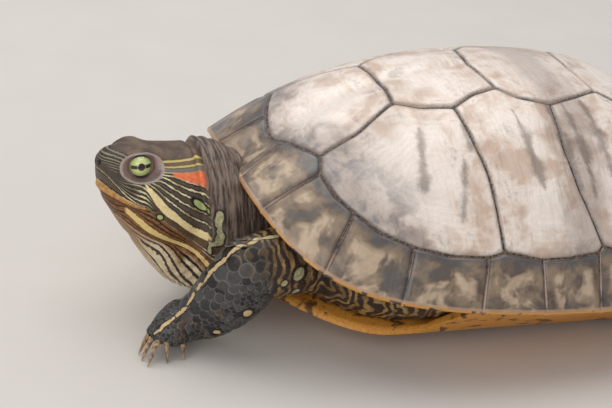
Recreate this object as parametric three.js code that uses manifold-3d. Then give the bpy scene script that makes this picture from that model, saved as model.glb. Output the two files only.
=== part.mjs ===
// A red-eared slider turtle at life size, resting on its plastron and feet with the head drawn half in.
// Millimetres, +Z up. The tail points to +X, the animal's left side faces -Y, and the floor is Z = 0.
import * as THREE from 'three';
import { mergeVertices } from 'three/addons/utils/BufferGeometryUtils.js';
import Module from 'manifold-3d';

const wasm = await Module();
wasm.setup();

// ---------------------------------------------------------------- driving dimensions

const SHELL_LENGTH = 200; // carapace, nuchal notch to rear rim, in a straight line
const SHELL_HALF_WIDTH = 72; // at the widest place of the rim
const SHELL_SQUARENESS = 0.6; // power of the sine in the rim's outline: 1 is an ellipse, less is squarer
const REAR_FLARE = 0.04; // share by which the rear rim spreads beyond that outline
const DOME_HEIGHT = 77.5; // crown above the plane of the plastron
const DOME_POWER = 2.46; // how long the dome stays high before it falls to the rim
const RIM_HEIGHT = 23; // rim above the plastron at mid-length
const FRONT_RISE = 19.2; // extra height of the rim over the neck
const FRONT_STEEPNESS = 6.2; // how quickly that rise ends towards the sides
const NUCHAL_NOTCH = 4; // depth of the notch over the neck
const NUCHAL_WIDTH = 8; // half-width of that notch
const PLATE_THICKNESS = 4.5; // of the carapace
const MARGINAL_DEPTH = 7; // flat underside of the marginal plates, from the edge inward

const PLASTRON_FRONT = 4; // distance of its front edge behind the front of the carapace
const PLASTRON_REAR = 187;
const PLASTRON_HALF_WIDTH = 48; // at the bridges
const PLASTRON_THICKNESS = 4;
const PLASTRON_UPTURN = 2.2; // how far its front edge curls up
const FRONT_LOBE_END = 46; // where the front lobe reaches full width
const HIND_LOBE_START = 138; // where the hind lobe starts to narrow
const BRIDGE_FRONT = 62; // the bridge joins plastron and carapace between these
const BRIDGE_REAR = 136;
const BRIDGE_BLEND = 6; // length over which each end of the bridge rises

const SHELL_PITCH = THREE.MathUtils.degToRad(3.8); // front of the shell carried higher than the rear
const REST_POINT = 165; // length along the plastron behind which it lies on the floor
const GAP = 0.3; // between pieces that touch

const HEAD_PLACE = new THREE.Vector3(-26.5, 0, 46.9); // head's own origin, between the eyes
const HEAD_YAW = THREE.MathUtils.degToRad(-5.7); // turned a little to the animal's right
const HEAD_PITCH = THREE.MathUtils.degToRad(1.6); // snout a little low
const HEAD_ROLL = THREE.MathUtils.degToRad(7.5); // left eye a little high
const EYE_RADIUS = 4.4;
const EYE_PLACE = { back: -2.4, side: 5.6, up: 8.6 }; // centre of the eyeball in the head's frame

const ROUND = Math.PI * 2;

// ---------------------------------------------------------------- small helpers

const clamp01 = (t) => Math.min(1, Math.max(0, t));
const mix = (a, b, t) => a + (b - a) * t;
const ramp = (t, from, to) => {
  const s = clamp01((t - from) / (to - from));
  return s * s * (3 - 2 * s);
};

// Smooth interpolation of the rows [station, value, value, ...] at a station: a cubic without overshoot.
function between(rows, station) {
  const last = rows.length - 1;
  let i = 0;
  while (i < last - 1 && station > rows[i + 1][0]) i += 1;
  const slope = (k, c) => {
    if (k === 0 || k === last) return 0;
    const before = (rows[k][c] - rows[k - 1][c]) / (rows[k][0] - rows[k - 1][0]);
    const after = (rows[k + 1][c] - rows[k][c]) / (rows[k + 1][0] - rows[k][0]);
    return before * after > 0 ? (2 * before * after) / (before + after) : 0;
  };
  const span = rows[i + 1][0] - rows[i][0];
  const t = clamp01((station - rows[i][0]) / span);
  return rows[i].slice(1).map((value, k) => {
    const c = k + 1;
    const start = slope(i, c) * span;
    const end = slope(i + 1, c) * span;
    const rise = rows[i + 1][c] - value;
    return value + start * t + (3 * rise - 2 * start - end) * t * t + (start + end - 2 * rise) * t ** 3;
  });
}

// Closed body through rings of points. A first or last ring of one point is a pole; others get a flat cap.
function closedLoft(rings) {
  const positions = [];
  const triangles = [];
  const starts = rings.map((ring) => {
    const start = positions.length / 3;
    ring.forEach((p) => positions.push(p.x, p.y, p.z));
    return start;
  });
  const fan = (ring, start, flip) => {
    for (let k = 1; k < ring.length - 1; k += 1) {
      triangles.push(start, start + k + (flip ? 1 : 0), start + k + (flip ? 0 : 1));
    }
  };
  for (let i = 0; i < rings.length - 1; i += 1) {
    const [a, b] = [rings[i], rings[i + 1]];
    const count = Math.max(a.length, b.length);
    for (let k = 0; k < count; k += 1) {
      const next = (k + 1) % count;
      const [a0, a1] = a.length === 1 ? [starts[i], starts[i]] : [starts[i] + k, starts[i] + next];
      const after = starts[i + 1];
      const [b0, b1] = b.length === 1 ? [after, after] : [after + k, after + next];
      if (a0 !== a1) triangles.push(a0, a1, b0);
      if (b0 !== b1) triangles.push(a1, b1, b0);
    }
  }
  fan(rings[0], starts[0], true);
  fan(rings[rings.length - 1], starts[rings.length - 1], false);
  const geometry = new THREE.BufferGeometry();
  geometry.setAttribute('position', new THREE.Float32BufferAttribute(positions, 3));
  geometry.setIndex(triangles);
  return faceOutward(geometry);
}

function volumeOf(geometry) {
  const p = geometry.attributes.position;
  const corner = (i) => new THREE.Vector3().fromBufferAttribute(p, geometry.index.getX(i));
  let total = 0;
  for (let i = 0; i < geometry.index.count; i += 3) {
    total += corner(i).dot(corner(i + 1).cross(corner(i + 2))) / 6;
  }
  return total;
}

function faceOutward(geometry) {
  if (volumeOf(geometry) < 0) {
    const index = geometry.index.array;
    for (let i = 0; i < index.length; i += 3) [index[i], index[i + 1]] = [index[i + 1], index[i]];
  }
  return geometry;
}

// Keeps the largest of the separate bodies that a cut can leave.
function largestBody(geometry) {
  const index = geometry.index.array;
  const leader = Array.from({ length: geometry.attributes.position.count }, (_, i) => i);
  const find = (i) => {
    let root = i;
    while (leader[root] !== root) root = leader[root];
    leader[i] = root;
    return root;
  };
  for (let i = 0; i < index.length; i += 3) {
    leader[find(index[i + 1])] = find(index[i]);
    leader[find(index[i + 2])] = find(index[i]);
  }
  const bodies = new Map();
  for (let i = 0; i < index.length; i += 3) {
    const root = find(index[i]);
    if (!bodies.has(root)) bodies.set(root, []);
    bodies.get(root).push(index[i], index[i + 1], index[i + 2]);
  }
  const made = [...bodies.values()].map((triangles) => {
    const body = new THREE.BufferGeometry();
    body.setAttribute('position', geometry.attributes.position);
    body.setIndex(triangles);
    return body;
  });
  made.sort((a, b) => volumeOf(b) - volumeOf(a));
  const kept = made[0].toNonIndexed();
  return mergeVertices(kept, 1e-4);
}

function solidFrom(geometry) {
  const merged = mergeVertices(geometry, 1e-4);
  return new wasm.Manifold(new wasm.Mesh({
    numProp: 3,
    vertProperties: Float32Array.from(merged.attributes.position.array),
    triVerts: Uint32Array.from(merged.index.array),
  }));
}

function geometryFrom(solid) {
  const mesh = solid.getMesh();
  const geometry = new THREE.BufferGeometry();
  geometry.setAttribute('position', new THREE.Float32BufferAttribute(mesh.vertProperties, 3));
  geometry.setIndex(Array.from(mesh.triVerts));
  return geometry;
}

const without = (geometry, cutters) => largestBody(geometryFrom(
  cutters.reduce((solid, cutter) => solid.subtract(solidFrom(cutter)), solidFrom(geometry)),
));

const joined = (geometries) => geometryFrom(
  geometries.slice(1).reduce((solid, piece) => solid.add(solidFrom(piece)), solidFrom(geometries[0])),
);

// Nothing of a foot, tail or plastron lies below the floor: what would is pressed flat on it.
function pressedOnFloor(geometry) {
  const p = geometry.attributes.position;
  for (let i = 0; i < p.count; i += 1) p.setZ(i, Math.max(0, p.getZ(i)));
  return geometry;
}

// ---------------------------------------------------------------- frames

// The shell's own frame: x from the nuchal rim to the rear, z up from the plane of the plastron.
const shellFrame = new THREE.Matrix4().makeRotationY(SHELL_PITCH)
  .setPosition(0, 0, REST_POINT * Math.sin(SHELL_PITCH));

// The head's own frame: x back from between the eyes, y to the animal's right, z up.
const headFrame = new THREE.Matrix4()
  .makeRotationFromEuler(new THREE.Euler(-HEAD_ROLL, -HEAD_PITCH, -HEAD_YAW, 'ZYX'))
  .setPosition(HEAD_PLACE);

// ---------------------------------------------------------------- shell

const SHELL_SIDES = 52;
const LINING_SHARES = [0.86, 0.7, 0.42]; // rings inside the dome, shared by shell and trunk

// Angles round the shell, closer together at its front and rear, where the outline turns fastest.
const angles = (count) => Array.from({ length: count }, (_, k) => {
  const t = ((k + 0.5) / count) * 2;
  const s = t < 1 ? t : 2 - t;
  const angle = Math.PI * s * s * (3 - 2 * s);
  return t < 1 ? angle : ROUND - angle;
});

const rimHeight = (c) => RIM_HEIGHT + FRONT_RISE * Math.max(0, c) ** FRONT_STEEPNESS;

// Rim of the carapace at an angle from the nuchal (0) through the left or right side to the rear (PI).
function rimAt(angle) {
  const c = Math.cos(angle);
  const s = Math.sin(angle);
  const spread = 1 + REAR_FLARE * ramp(-c, 0.2, 0.8);
  const reach = SHELL_HALF_WIDTH * Math.abs(s) ** SHELL_SQUARENESS * spread;
  const notch = c > 0 ? NUCHAL_NOTCH * Math.exp(-((reach / NUCHAL_WIDTH) ** 2)) : 0;
  return new THREE.Vector3((SHELL_LENGTH * (1 - c)) / 2 + notch, Math.sign(s) * reach, rimHeight(c));
}

// Half-width of the rim at a length along the shell.
const rimHalfWidth = (x) => Math.abs(rimAt(Math.acos(1 - (2 * x) / SHELL_LENGTH)).y);

// A point on the dome: share 0 is the crown and 1 the rim. inset moves the whole dome inward.
function domeAt(angle, share, inset) {
  const rim = rimAt(angle);
  const out = new THREE.Vector2(rim.x - SHELL_LENGTH / 2, rim.y);
  out.setLength(share * (out.length() - inset));
  const height = (DOME_HEIGHT - inset - rim.z) * (1 - share ** DOME_POWER);
  return new THREE.Vector3(SHELL_LENGTH / 2 + out.x, out.y, rim.z + height);
}

// A point under the rim, moved inward and down from its edge.
function underRim(angle, inward, down) {
  const rim = rimAt(angle);
  const out = new THREE.Vector2(rim.x - SHELL_LENGTH / 2, rim.y);
  out.setLength(out.length() - inward);
  return new THREE.Vector3(SHELL_LENGTH / 2 + out.x, out.y, rim.z - down);
}

const crown = (inset) => [new THREE.Vector3(SHELL_LENGTH / 2, 0, DOME_HEIGHT - inset)];
const around = (make) => angles(SHELL_SIDES).map(make);

function carapace(grow) {
  const outer = [0.22, 0.42, 0.59, 0.73, 0.85, 0.94, 0.98];
  return closedLoft([
    crown(-grow),
    ...outer.map((share) => around((a) => domeAt(a, share, -grow))),
    around((a) => underRim(a, -grow, 0)),
    around((a) => underRim(a, 0.7 - grow, 1.9 + grow)),
    around((a) => underRim(a, MARGINAL_DEPTH + grow, 2 + grow)),
    ...LINING_SHARES.map((share) => around((a) => domeAt(a, share, PLATE_THICKNESS + grow))),
    crown(PLATE_THICKNESS + grow),
  ]);
}

function plastronHalfWidth(x) {
  if (x < FRONT_LOBE_END) {
    const t = (FRONT_LOBE_END - x) / (FRONT_LOBE_END - PLASTRON_FRONT);
    return PLASTRON_HALF_WIDTH * (1 - t ** 1.6) ** (1 / 1.4);
  }
  const waist = mix(PLASTRON_HALF_WIDTH, PLASTRON_HALF_WIDTH - 2, ramp(x, FRONT_LOBE_END, HIND_LOBE_START));
  if (x < HIND_LOBE_START) return waist;
  const t = (x - HIND_LOBE_START) / (PLASTRON_REAR - HIND_LOBE_START);
  return waist * (1 - t ** 2.6) ** 0.5;
}

const bridgeShare = (x) => ramp(x, BRIDGE_FRONT - BRIDGE_BLEND, BRIDGE_FRONT + BRIDGE_BLEND)
  * (1 - ramp(x, BRIDGE_REAR - BRIDGE_BLEND, BRIDGE_REAR + BRIDGE_BLEND));

// A point of the plastron or bridge: a share of its half-width, moved out by the bridge, at a height.
function plastronPoint(angle, { share = 1, inward = 0, height = 0, bridgeIn = null, bridgeDown = 0 }) {
  const length = PLASTRON_REAR - PLASTRON_FRONT;
  const middle = (PLASTRON_REAR + PLASTRON_FRONT) / 2;
  const x = PLASTRON_FRONT + (length * (1 - Math.cos(angle))) / 2;
  const half = plastronHalfWidth(x);
  const reach = Math.hypot(x - middle, half);
  const scale = share * Math.max(0, 1 - inward / reach);
  const lift = PLASTRON_UPTURN * ramp(FRONT_LOBE_END - x, 8, 44) * scale;
  const point = new THREE.Vector3(middle + (x - middle) * scale, half * scale, height + lift);
  if (bridgeIn !== null) {
    const b = bridgeShare(x);
    point.y = mix(point.y, rimHalfWidth(x) - bridgeIn, b);
    point.z = mix(point.z, rimHeight(1 - (2 * x) / SHELL_LENGTH) - bridgeDown, b);
    point.x = mix(point.x, x, b);
  }
  point.y *= Math.sign(Math.sin(angle));
  return point;
}

function plastron(grow) {
  const ring = (options) => around((a) => plastronPoint(a, options));
  const top = PLASTRON_THICKNESS + grow;
  const middle = (PLASTRON_REAR + PLASTRON_FRONT) / 2;
  return closedLoft([
    [new THREE.Vector3(middle, 0, -grow)],
    ring({ share: 0.6, height: -grow }),
    ring({ share: 0.85, height: -grow }),
    ring({ inward: 3 - grow, height: -grow }),
    ring({ inward: -grow, height: 1.2 - grow }),
    ring({ inward: 0.2 - grow, height: 2.4, bridgeIn: 3.4 - grow, bridgeDown: 2.4 - grow }),
    ring({ inward: 1.4 - grow, height: top - 0.6, bridgeIn: 7.4 + grow, bridgeDown: 2.4 - grow }),
    ring({ inward: 6 + grow, height: top }),
    ring({ share: 0.6, height: top }),
    [new THREE.Vector3(middle, 0, top)],
  ]);
}

// ---------------------------------------------------------------- soft parts of the body

// Everything between carapace and plastron, with the loose skin of the leg pockets at its sides.
function trunk(grow) {
  const frontRecess = 11;
  const middle = SHELL_LENGTH / 2;
  const drawnIn = (point) => {
    const recess = frontRecess * (1 - ramp(point.x, 4, 26)) - grow;
    const out = new THREE.Vector2(point.x - middle, point.y);
    out.setLength(Math.max(0, out.length() - recess));
    return new THREE.Vector3(middle + out.x, out.y, point.z);
  };
  const floor = PLASTRON_THICKNESS + GAP;
  const wall = (a, t, bulge) => {
    const behindBridge = ramp(bridgeShare(plastronX(a)), -0.1, 0.05);
    const low = plastronPoint(a, { inward: 1 + 6.5 * behindBridge, height: floor });
    const high = underRim(a, MARGINAL_DEPTH + 2.4, 2 + 2 * GAP);
    const point = low.lerp(high, t);
    const out = new THREE.Vector2(point.x - middle, point.y);
    out.setLength(out.length() + bulge * (1 - bridgeShare(plastronX(a))));
    return drawnIn(new THREE.Vector3(middle + out.x, out.y, point.z));
  };
  const roof = PLATE_THICKNESS + 2 * GAP;
  return closedLoft([
    [new THREE.Vector3(middle, 0, floor - grow)],
    around((a) => drawnIn(plastronPoint(a, { share: 0.6, height: floor - grow }))),
    around((a) => wall(a, 0, 0)),
    around((a) => wall(a, 0.3, 2.2)),
    around((a) => wall(a, 0.68, 2.2)),
    around((a) => wall(a, 1, 0)),
    ...LINING_SHARES.map((share) => around((a) => drawnIn(domeAt(a, share, roof - grow)))),
    crown(roof - grow),
  ]);
}

const plastronX = (a) => PLASTRON_FRONT + ((PLASTRON_REAR - PLASTRON_FRONT) * (1 - Math.cos(a))) / 2;

// A body with upright oval sections across X: rows of [x, top, bottom, half-width].
function uprightBody(rows, stations, sides, roundness, grow) {
  const ring = (x) => {
    const [top, bottom, half] = between(rows, x);
    return Array.from({ length: sides }, (_, k) => {
      const angle = ((k + 0.5) / sides) * ROUND;
      const c = Math.cos(angle);
      const s = Math.sin(angle);
      const y = Math.sign(s) * Math.abs(s) ** roundness * (half + grow);
      const z = (top + bottom) / 2 + Math.sign(c) * Math.abs(c) ** roundness * ((top - bottom) / 2 + grow);
      return new THREE.Vector3(x, y, z);
    });
  };
  const cap = (x, out) => {
    const [top, bottom] = between(rows, x);
    return [new THREE.Vector3(x + out * grow, 0, (top + bottom) / 2)];
  };
  return closedLoft([cap(stations[0], -1), ...stations.map(ring), cap(stations[stations.length - 1], 1)]);
}

const steps = (from, to, count) => Array.from({ length: count }, (_, k) => mix(from, to, k / (count - 1)));

// Neck with its loose collar behind the head and the throat that runs down to the plastron.
const NECK_ROWS = [
  [-31.8, 36, 31.5, 4],
  [-28.8, 38, 26, 7],
  [-23.8, 40, 18.2, 9.4],
  [-18.8, 43, 12, 10.8],
  [-13.8, 47, 8.4, 12],
  [-10, 52, 6.6, 13.5],
  [-8.2, 57.2, 6.2, 16.8],
  [-5.5, 58, 5.8, 18.2],
  [-2, 56.6, 6.3, 19.4],
  [4, 54.8, 7.5, 20.2],
  [11, 53, 9.5, 20],
  [28, 50, 15, 19],
];

const neck = (grow) => uprightBody(NECK_ROWS, NECK_ROWS.map((row) => row[0]), 20, 0.92, grow);

// Head from the snout to behind the ear drum, in its own frame.
const HEAD_ROWS = [
  [-14.2, 9.4, 1.6, 2.2],
  [-13.2, 11.3, -3, 5.2],
  [-11, 12.8, -7, 7.2],
  [-8.5, 13.2, -11.8, 8.8],
  [-6, 13.4, -16, 9.8],
  [-1.5, 13.4, -20.4, 11.6],
  [5, 12.4, -22.4, 13.4],
  [12, 11.2, -22.8, 14.6],
  [18, 10.6, -22, 14.6],
  [23, 9.2, -19, 12.8],
];

const wholeHead = (grow) => uprightBody(HEAD_ROWS, HEAD_ROWS.map((row) => row[0]), 22, 0.86, grow);

// What lies under the mouth line, as a wedge through the head.
function underMouth(grow) {
  const corner = [9, -8.3];
  const line = [[-20, -0.6], [-12.1, -1.9], [-6.7, -4.3], [0.6, -6.4], corner];
  const shape = new THREE.Shape(line.map(([x, z]) => new THREE.Vector2(x, z + grow)));
  shape.lineTo(corner[0] + grow, corner[1] + grow);
  shape.lineTo(corner[0] + grow, -40);
  shape.lineTo(-20, -40);
  const depth = 60;
  const wedge = new THREE.ExtrudeGeometry(shape, { depth, bevelEnabled: false, steps: 1 });
  wedge.deleteAttribute('normal');
  wedge.deleteAttribute('uv');
  wedge.applyMatrix4(new THREE.Matrix4().makeRotationX(Math.PI / 2));
  wedge.translate(0, depth / 2, 0);
  return mergeVertices(wedge, 1e-4);
}

function eyeball(side, grow) {
  const ball = new THREE.SphereGeometry(EYE_RADIUS + grow, 12, 7);
  ball.deleteAttribute('normal');
  ball.deleteAttribute('uv');
  ball.translate(EYE_PLACE.back, side * EYE_PLACE.side, EYE_PLACE.up);
  return mergeVertices(ball, 1e-4);
}

const head = () => without(wholeHead(0), [underMouth(GAP / 2), eyeball(-1, GAP), eyeball(1, GAP)]);

const lowerJaw = () => largestBody(geometryFrom(
  solidFrom(wholeHead(0)).intersect(solidFrom(underMouth(-GAP / 2))),
));

// ---------------------------------------------------------------- limbs

// A limb along points [x, y, z, half-height, half-width], with sections square to its path.
function limb(points, sides, stepCount, grow) {
  const route = points.map(([x, y, z]) => new THREE.Vector3(x, y, z));
  const curve = new THREE.CatmullRomCurve3(route, false, 'centripetal');
  const rows = points.map((p, k) => [k / (points.length - 1), p[3], p[4]]);
  const up = new THREE.Vector3(0, 0, 1);
  const centres = [];
  const rings = steps(0, 1, stepCount).map((t) => {
    const centre = curve.getPoint(t);
    const along = curve.getTangent(t);
    const across = new THREE.Vector3().crossVectors(up, along).normalize();
    const over = new THREE.Vector3().crossVectors(along, across);
    const [high, wide] = between(rows, t);
    centres.push(centre);
    return Array.from({ length: sides }, (_, k) => {
      const angle = ((k + 0.5) / sides) * ROUND;
      return centre.clone()
        .addScaledVector(over, Math.cos(angle) * (high + grow))
        .addScaledVector(across, Math.sin(angle) * (wide + grow));
    });
  });
  const ends = [0, 1].map((t) => {
    const out = curve.getTangent(t).multiplyScalar(t === 0 ? -1 : 1);
    const end = points[t * (points.length - 1)];
    const reach = Math.min(end[3], end[4]) * 0.45 + grow;
    return [curve.getPoint(t).addScaledVector(out, reach)];
  });
  return closedLoft([ends[0], ...rings, ends[1]]);
}

// Left foreleg: shoulder in the pocket, high elbow, forearm falling forward to the wrist.
const FORELEG_LEFT = [
  [27, -25, 25, 10, 9],
  [14, -32, 31, 11.5, 9.5],
  [2.5, -36, 33, 12.2, 8.6],
  [-2.8, -35, 25.3, 11.4, 7.6],
  [-9, -31.5, 15.4, 9.8, 6.8],
  [-15.3, -28, 9.6, 7.4, 6.2],
];

// Right foreleg: drawn back under the shell, beside the neck.
const FORELEG_RIGHT = [
  [34, 27, 24, 10, 9],
  [25, 35, 28, 11, 9.5],
  [18, 41, 27, 10.5, 8.6],
  [14, 42.5, 20, 9.2, 7.4],
  [10.5, 43, 13.5, 7.6, 6.6],
  [7, 43.5, 8.6, 6.4, 6.2],
];

const HINDLEG_LEFT = [
  [136, -27, 19, 11, 12],
  [146, -42, 17.5, 10.5, 11],
  [154, -54, 14, 8.4, 8.6],
  [159, -62, 9, 6.2, 6.6],
];

const HINDLEG_RIGHT = [
  [138, 27, 19, 11, 12],
  [150, 41, 17.5, 10.5, 11],
  [160, 51, 14, 8.4, 8.6],
  [167, 57, 9, 6.2, 6.6],
];

const TAIL = [
  [172, 0, 12.5, 7.5, 8],
  [184, 0.5, 10.5, 6.2, 6.6],
  [195, 2.5, 7.4, 4, 4.2],
  [203, 6, 4.4, 2.4, 2.6],
  [209, 10.5, 2, 1.2, 1.3],
];

// A foot in its own frame: x to the toes, z up from the floor. rows: [x, top, bottom, half-width].
function foot({ rows, toes }, grow) {
  const palm = uprightBody(rows, rows.map((row) => row[0]), 14, 0.9, grow);
  const digits = toes.map(({ root, end }) => limb([
    [...root, 2.3, 2],
    [mix(root[0], end[0], 0.55), mix(root[1], end[1], 0.55), mix(root[2], end[2], 0.5) + 0.5, 2.2, 1.9],
    [...end, 1.7, 1.6],
  ], 6, 3, grow));
  return joined([palm, ...digits]);
}

// A claw from the end of its toe, bowed forward and down to its tip.
function claw({ end, tip, bow }) {
  const path = new THREE.QuadraticBezierCurve3(
    new THREE.Vector3(...end),
    new THREE.Vector3(mix(end[0], tip[0], 0.7) + bow, mix(end[1], tip[1], 0.6), mix(end[2], tip[2], 0.35)),
    new THREE.Vector3(...tip),
  );
  const points = [0, 0.3, 0.6, 0.85, 1].map((t) => {
    const radius = mix(1.25, 0.38, t ** 1.3);
    return [...path.getPoint(t).toArray(), radius, radius * 0.8];
  });
  return limb(points, 5, 4, 0);
}

// Raised hand of the left foreleg, standing on its claws.
const HAND_RAISED = {
  rows: [
    [-4, 13, 3.5, 4.6],
    [-0.5, 16.2, 1.6, 6.4],
    [4, 15.6, 1.8, 6.8],
    [7.5, 13.4, 3, 6.6],
    [10.5, 10.6, 4.8, 5.2],
  ],
  toes: [
    { root: [8, -3.4, 8.2], end: [12.8, -3.7, 7.2], tip: [15.2, -5.2, 0.3] },
    { root: [8.5, -1.5, 8.4], end: [13.4, -1.6, 7.2], tip: [17.2, -2, 0.3] },
    { root: [8.5, 0.8, 8.4], end: [13.2, 1, 7.2], tip: [18.4, 1.6, 0.3] },
    { root: [7.5, 3, 7.8], end: [11.8, 3.4, 7], tip: [12.6, 4.6, 0.3] },
    { root: [3.6, 4.6, 6.5], end: [6.6, 5.8, 5.2], tip: [7.6, 7, 0.3] },
  ],
  bow: 1.2,
};

// Flat hand of the right foreleg.
const HAND_FLAT = {
  rows: [
    [-5, 11, 2.5, 5],
    [-1, 14, -0.4, 6.8],
    [4, 12.5, -0.4, 7.8],
    [9, 9.4, -0.3, 8.4],
    [13, 6.4, 0.6, 7.2],
  ],
  toes: [-38, -19, 0, 19, 38].map((degrees) => {
    const turn = THREE.MathUtils.degToRad(degrees);
    const at = (r, z) => [6 + r * Math.cos(turn), r * Math.sin(turn) * 1.1, z];
    return { root: at(5.5, 3.6), end: at(10.5, 2.7), tip: at(17, 0.4) };
  }),
  bow: 0.5,
};

// Broad webbed hind foot with four clawed toes.
const HIND_FOOT = {
  rows: [
    [-7, 10, 3, 5],
    [-2, 13, -0.4, 7],
    [5, 9.6, -0.4, 9],
    [12, 6.4, -0.3, 11],
    [18, 4.4, 0.2, 10.6],
  ],
  toes: [-33, -12, 9, 30].map((degrees) => {
    const turn = THREE.MathUtils.degToRad(degrees);
    const at = (r, z) => [2 + r * Math.cos(turn), r * Math.sin(turn), z];
    return { root: at(12, 2.9), end: at(19, 2.3), tip: at(24.5, 0.4) };
  }),
  bow: 0.4,
};

const FEET = [
  {
    name: 'forefoot_left', leg: FORELEG_LEFT, design: HAND_RAISED,
    place: [-16.6, -25.8], heading: 213, mirror: false,
  },
  {
    name: 'forefoot_right', leg: FORELEG_RIGHT, design: HAND_FLAT,
    place: [8, 43.5], heading: 158, mirror: true,
  },
  {
    name: 'hindfoot_left', leg: HINDLEG_LEFT, design: HIND_FOOT,
    place: [160, -63], heading: 250, mirror: false,
  },
  {
    name: 'hindfoot_right', leg: HINDLEG_RIGHT, design: HIND_FOOT,
    place: [168, 58], heading: 68, mirror: true,
  },
];

// Where a foot stands. Feet of the right side are mirror images, so their first toe is also the inner one.
function footFrame({ place, heading, mirror }) {
  const turned = new THREE.Matrix4().makeRotationZ(THREE.MathUtils.degToRad(heading));
  if (mirror) turned.multiply(new THREE.Matrix4().makeScale(1, -1, 1));
  return turned.setPosition(place[0], place[1], 0);
}

// ---------------------------------------------------------------- assembly

const COLOURS = {
  carapace: { color: '#b9ab97', roughness: 0.45 },
  plastron: { color: '#d9a64e', roughness: 0.45 },
  skin: { color: '#4c4a40', roughness: 0.75 },
  eye: { color: '#9aa35a', roughness: 0.1 },
  claw: { color: '#8c7358', roughness: 0.5 },
};

const turtle = new THREE.Group();
turtle.name = 'red_eared_slider';
const shellGroup = new THREE.Group();
shellGroup.applyMatrix4(shellFrame);
const headGroup = new THREE.Group();
headGroup.applyMatrix4(headFrame);
turtle.add(shellGroup, headGroup);

function place(group, name, kind, geometry) {
  const mesh = new THREE.Mesh(geometry, new THREE.MeshStandardMaterial({ ...COLOURS[kind], metalness: 0 }));
  mesh.name = name;
  group.add(mesh);
}

const inShell = (geometry) => geometry.clone().applyMatrix4(shellFrame);
const inHead = (geometry) => geometry.clone().applyMatrix4(headFrame);

// The plastron lies on the floor with its rear, so it is pressed flat in the animal's frame, then put back.
const plastronRested = pressedOnFloor(inShell(plastron(0))).applyMatrix4(shellFrame.clone().invert());
place(shellGroup, 'carapace', 'carapace', carapace(0));
place(shellGroup, 'plastron', 'plastron', plastronRested);

place(shellGroup, 'trunk', 'skin', trunk(0));
const shellCutters = [inShell(carapace(GAP)), inShell(plastron(GAP))];
const trunkCutter = inShell(trunk(GAP));

const headCutter = inHead(wholeHead(GAP));
const neckBody = without(neck(0), [headCutter, trunkCutter, ...shellCutters]);
place(turtle, 'neck', 'skin', neckBody);
place(headGroup, 'head', 'skin', head());
place(headGroup, 'lower_jaw', 'skin', lowerJaw());
place(headGroup, 'eye_left', 'eye', eyeball(-1, 0));
place(headGroup, 'eye_right', 'eye', eyeball(1, 0));

const bodyCutters = [trunkCutter, neck(GAP), ...shellCutters];
for (const { name, leg, design, place: spot, heading, mirror } of FEET) {
  const frame = footFrame({ place: spot, heading, mirror });
  const legGrown = limb(leg, 14, 8, GAP);
  const legName = name.replace('foot', 'leg');
  place(turtle, legName, 'skin', pressedOnFloor(without(limb(leg, 14, 8, 0), bodyCutters)));
  const standing = (geometry) => faceOutward(geometry.applyMatrix4(frame));
  const footBody = pressedOnFloor(without(standing(foot(design, 0)), [legGrown]));
  place(turtle, name, 'skin', footBody);
  const footCutter = standing(foot(design, GAP));
  design.toes.forEach((toe, k) => {
    const clawBody = pressedOnFloor(without(standing(claw({ ...toe, bow: design.bow })), [footCutter]));
    place(turtle, `${name.replace('foot', 'claw')}_${k + 1}`, 'claw', clawBody);
  });
}

place(turtle, 'tail', 'skin', pressedOnFloor(without(limb(TAIL, 10, 8, 0), [trunkCutter, ...shellCutters])));

// The origin is at the middle of the animal's length and width, on the floor.
const box = new THREE.Box3().setFromObject(turtle, true);
const middle = box.getCenter(new THREE.Vector3());
turtle.position.set(-middle.x, -middle.y, 0);

export default turtle;
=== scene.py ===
# %% [markdown]
# # A red-eared slider, as a still museum model
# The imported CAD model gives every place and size. This lesson dresses it: horn plates over the shell,
# one skin over head, neck, legs and tail, small scales over that skin, eyes and claws. All lengths are
# thought of in millimetres, in the frame in which the animal was drawn, and turned into the row frame,
# in metres, at the last moment.

# %% Load the frame
import math

import bpy
import numpy as np
from mathutils import Matrix, Vector, noise
from mathutils.kdtree import KDTree


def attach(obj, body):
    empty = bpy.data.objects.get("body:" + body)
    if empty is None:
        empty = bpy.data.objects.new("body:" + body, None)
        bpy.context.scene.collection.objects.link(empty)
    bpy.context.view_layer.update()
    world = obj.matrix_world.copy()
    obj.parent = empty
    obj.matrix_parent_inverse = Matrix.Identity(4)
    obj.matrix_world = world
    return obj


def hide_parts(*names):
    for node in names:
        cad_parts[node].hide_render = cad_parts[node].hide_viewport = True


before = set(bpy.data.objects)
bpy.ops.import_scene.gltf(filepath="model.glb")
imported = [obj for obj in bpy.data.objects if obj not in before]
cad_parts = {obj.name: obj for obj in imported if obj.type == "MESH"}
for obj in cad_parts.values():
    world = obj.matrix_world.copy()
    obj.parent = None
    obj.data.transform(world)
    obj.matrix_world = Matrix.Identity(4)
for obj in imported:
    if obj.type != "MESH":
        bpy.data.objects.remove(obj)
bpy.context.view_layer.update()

# %% [markdown]
# ## Small hand tools
# Blender's operators act on whatever is selected, so one helper makes a single object the selected and
# active one. Points are read and written in bulk as millimetres, because thousands of points are moved
# at a time when skin and horn are shaped.

# %% Selecting and reading points
MM = 1000.0


def pick(*pieces):
    if bpy.context.object and bpy.context.object.mode != "OBJECT":
        bpy.ops.object.mode_set(mode="OBJECT")
    bpy.ops.object.select_all(action="DESELECT")
    for piece in pieces:
        piece.select_set(True)
    bpy.context.view_layer.objects.active = pieces[-1]
    return pieces[-1]


def points_of(piece):
    flat = np.empty(len(piece.data.vertices) * 3)
    piece.data.vertices.foreach_get("co", flat)
    return flat.reshape(-1, 3) * MM


def move_points(piece, points):
    piece.data.vertices.foreach_set("co", (points / MM).ravel())
    piece.data.update()


def normals_of(piece):
    flat = np.empty(len(piece.data.vertices) * 3)
    piece.data.vertex_normals.foreach_get("vector", flat)
    return flat.reshape(-1, 3)


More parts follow.
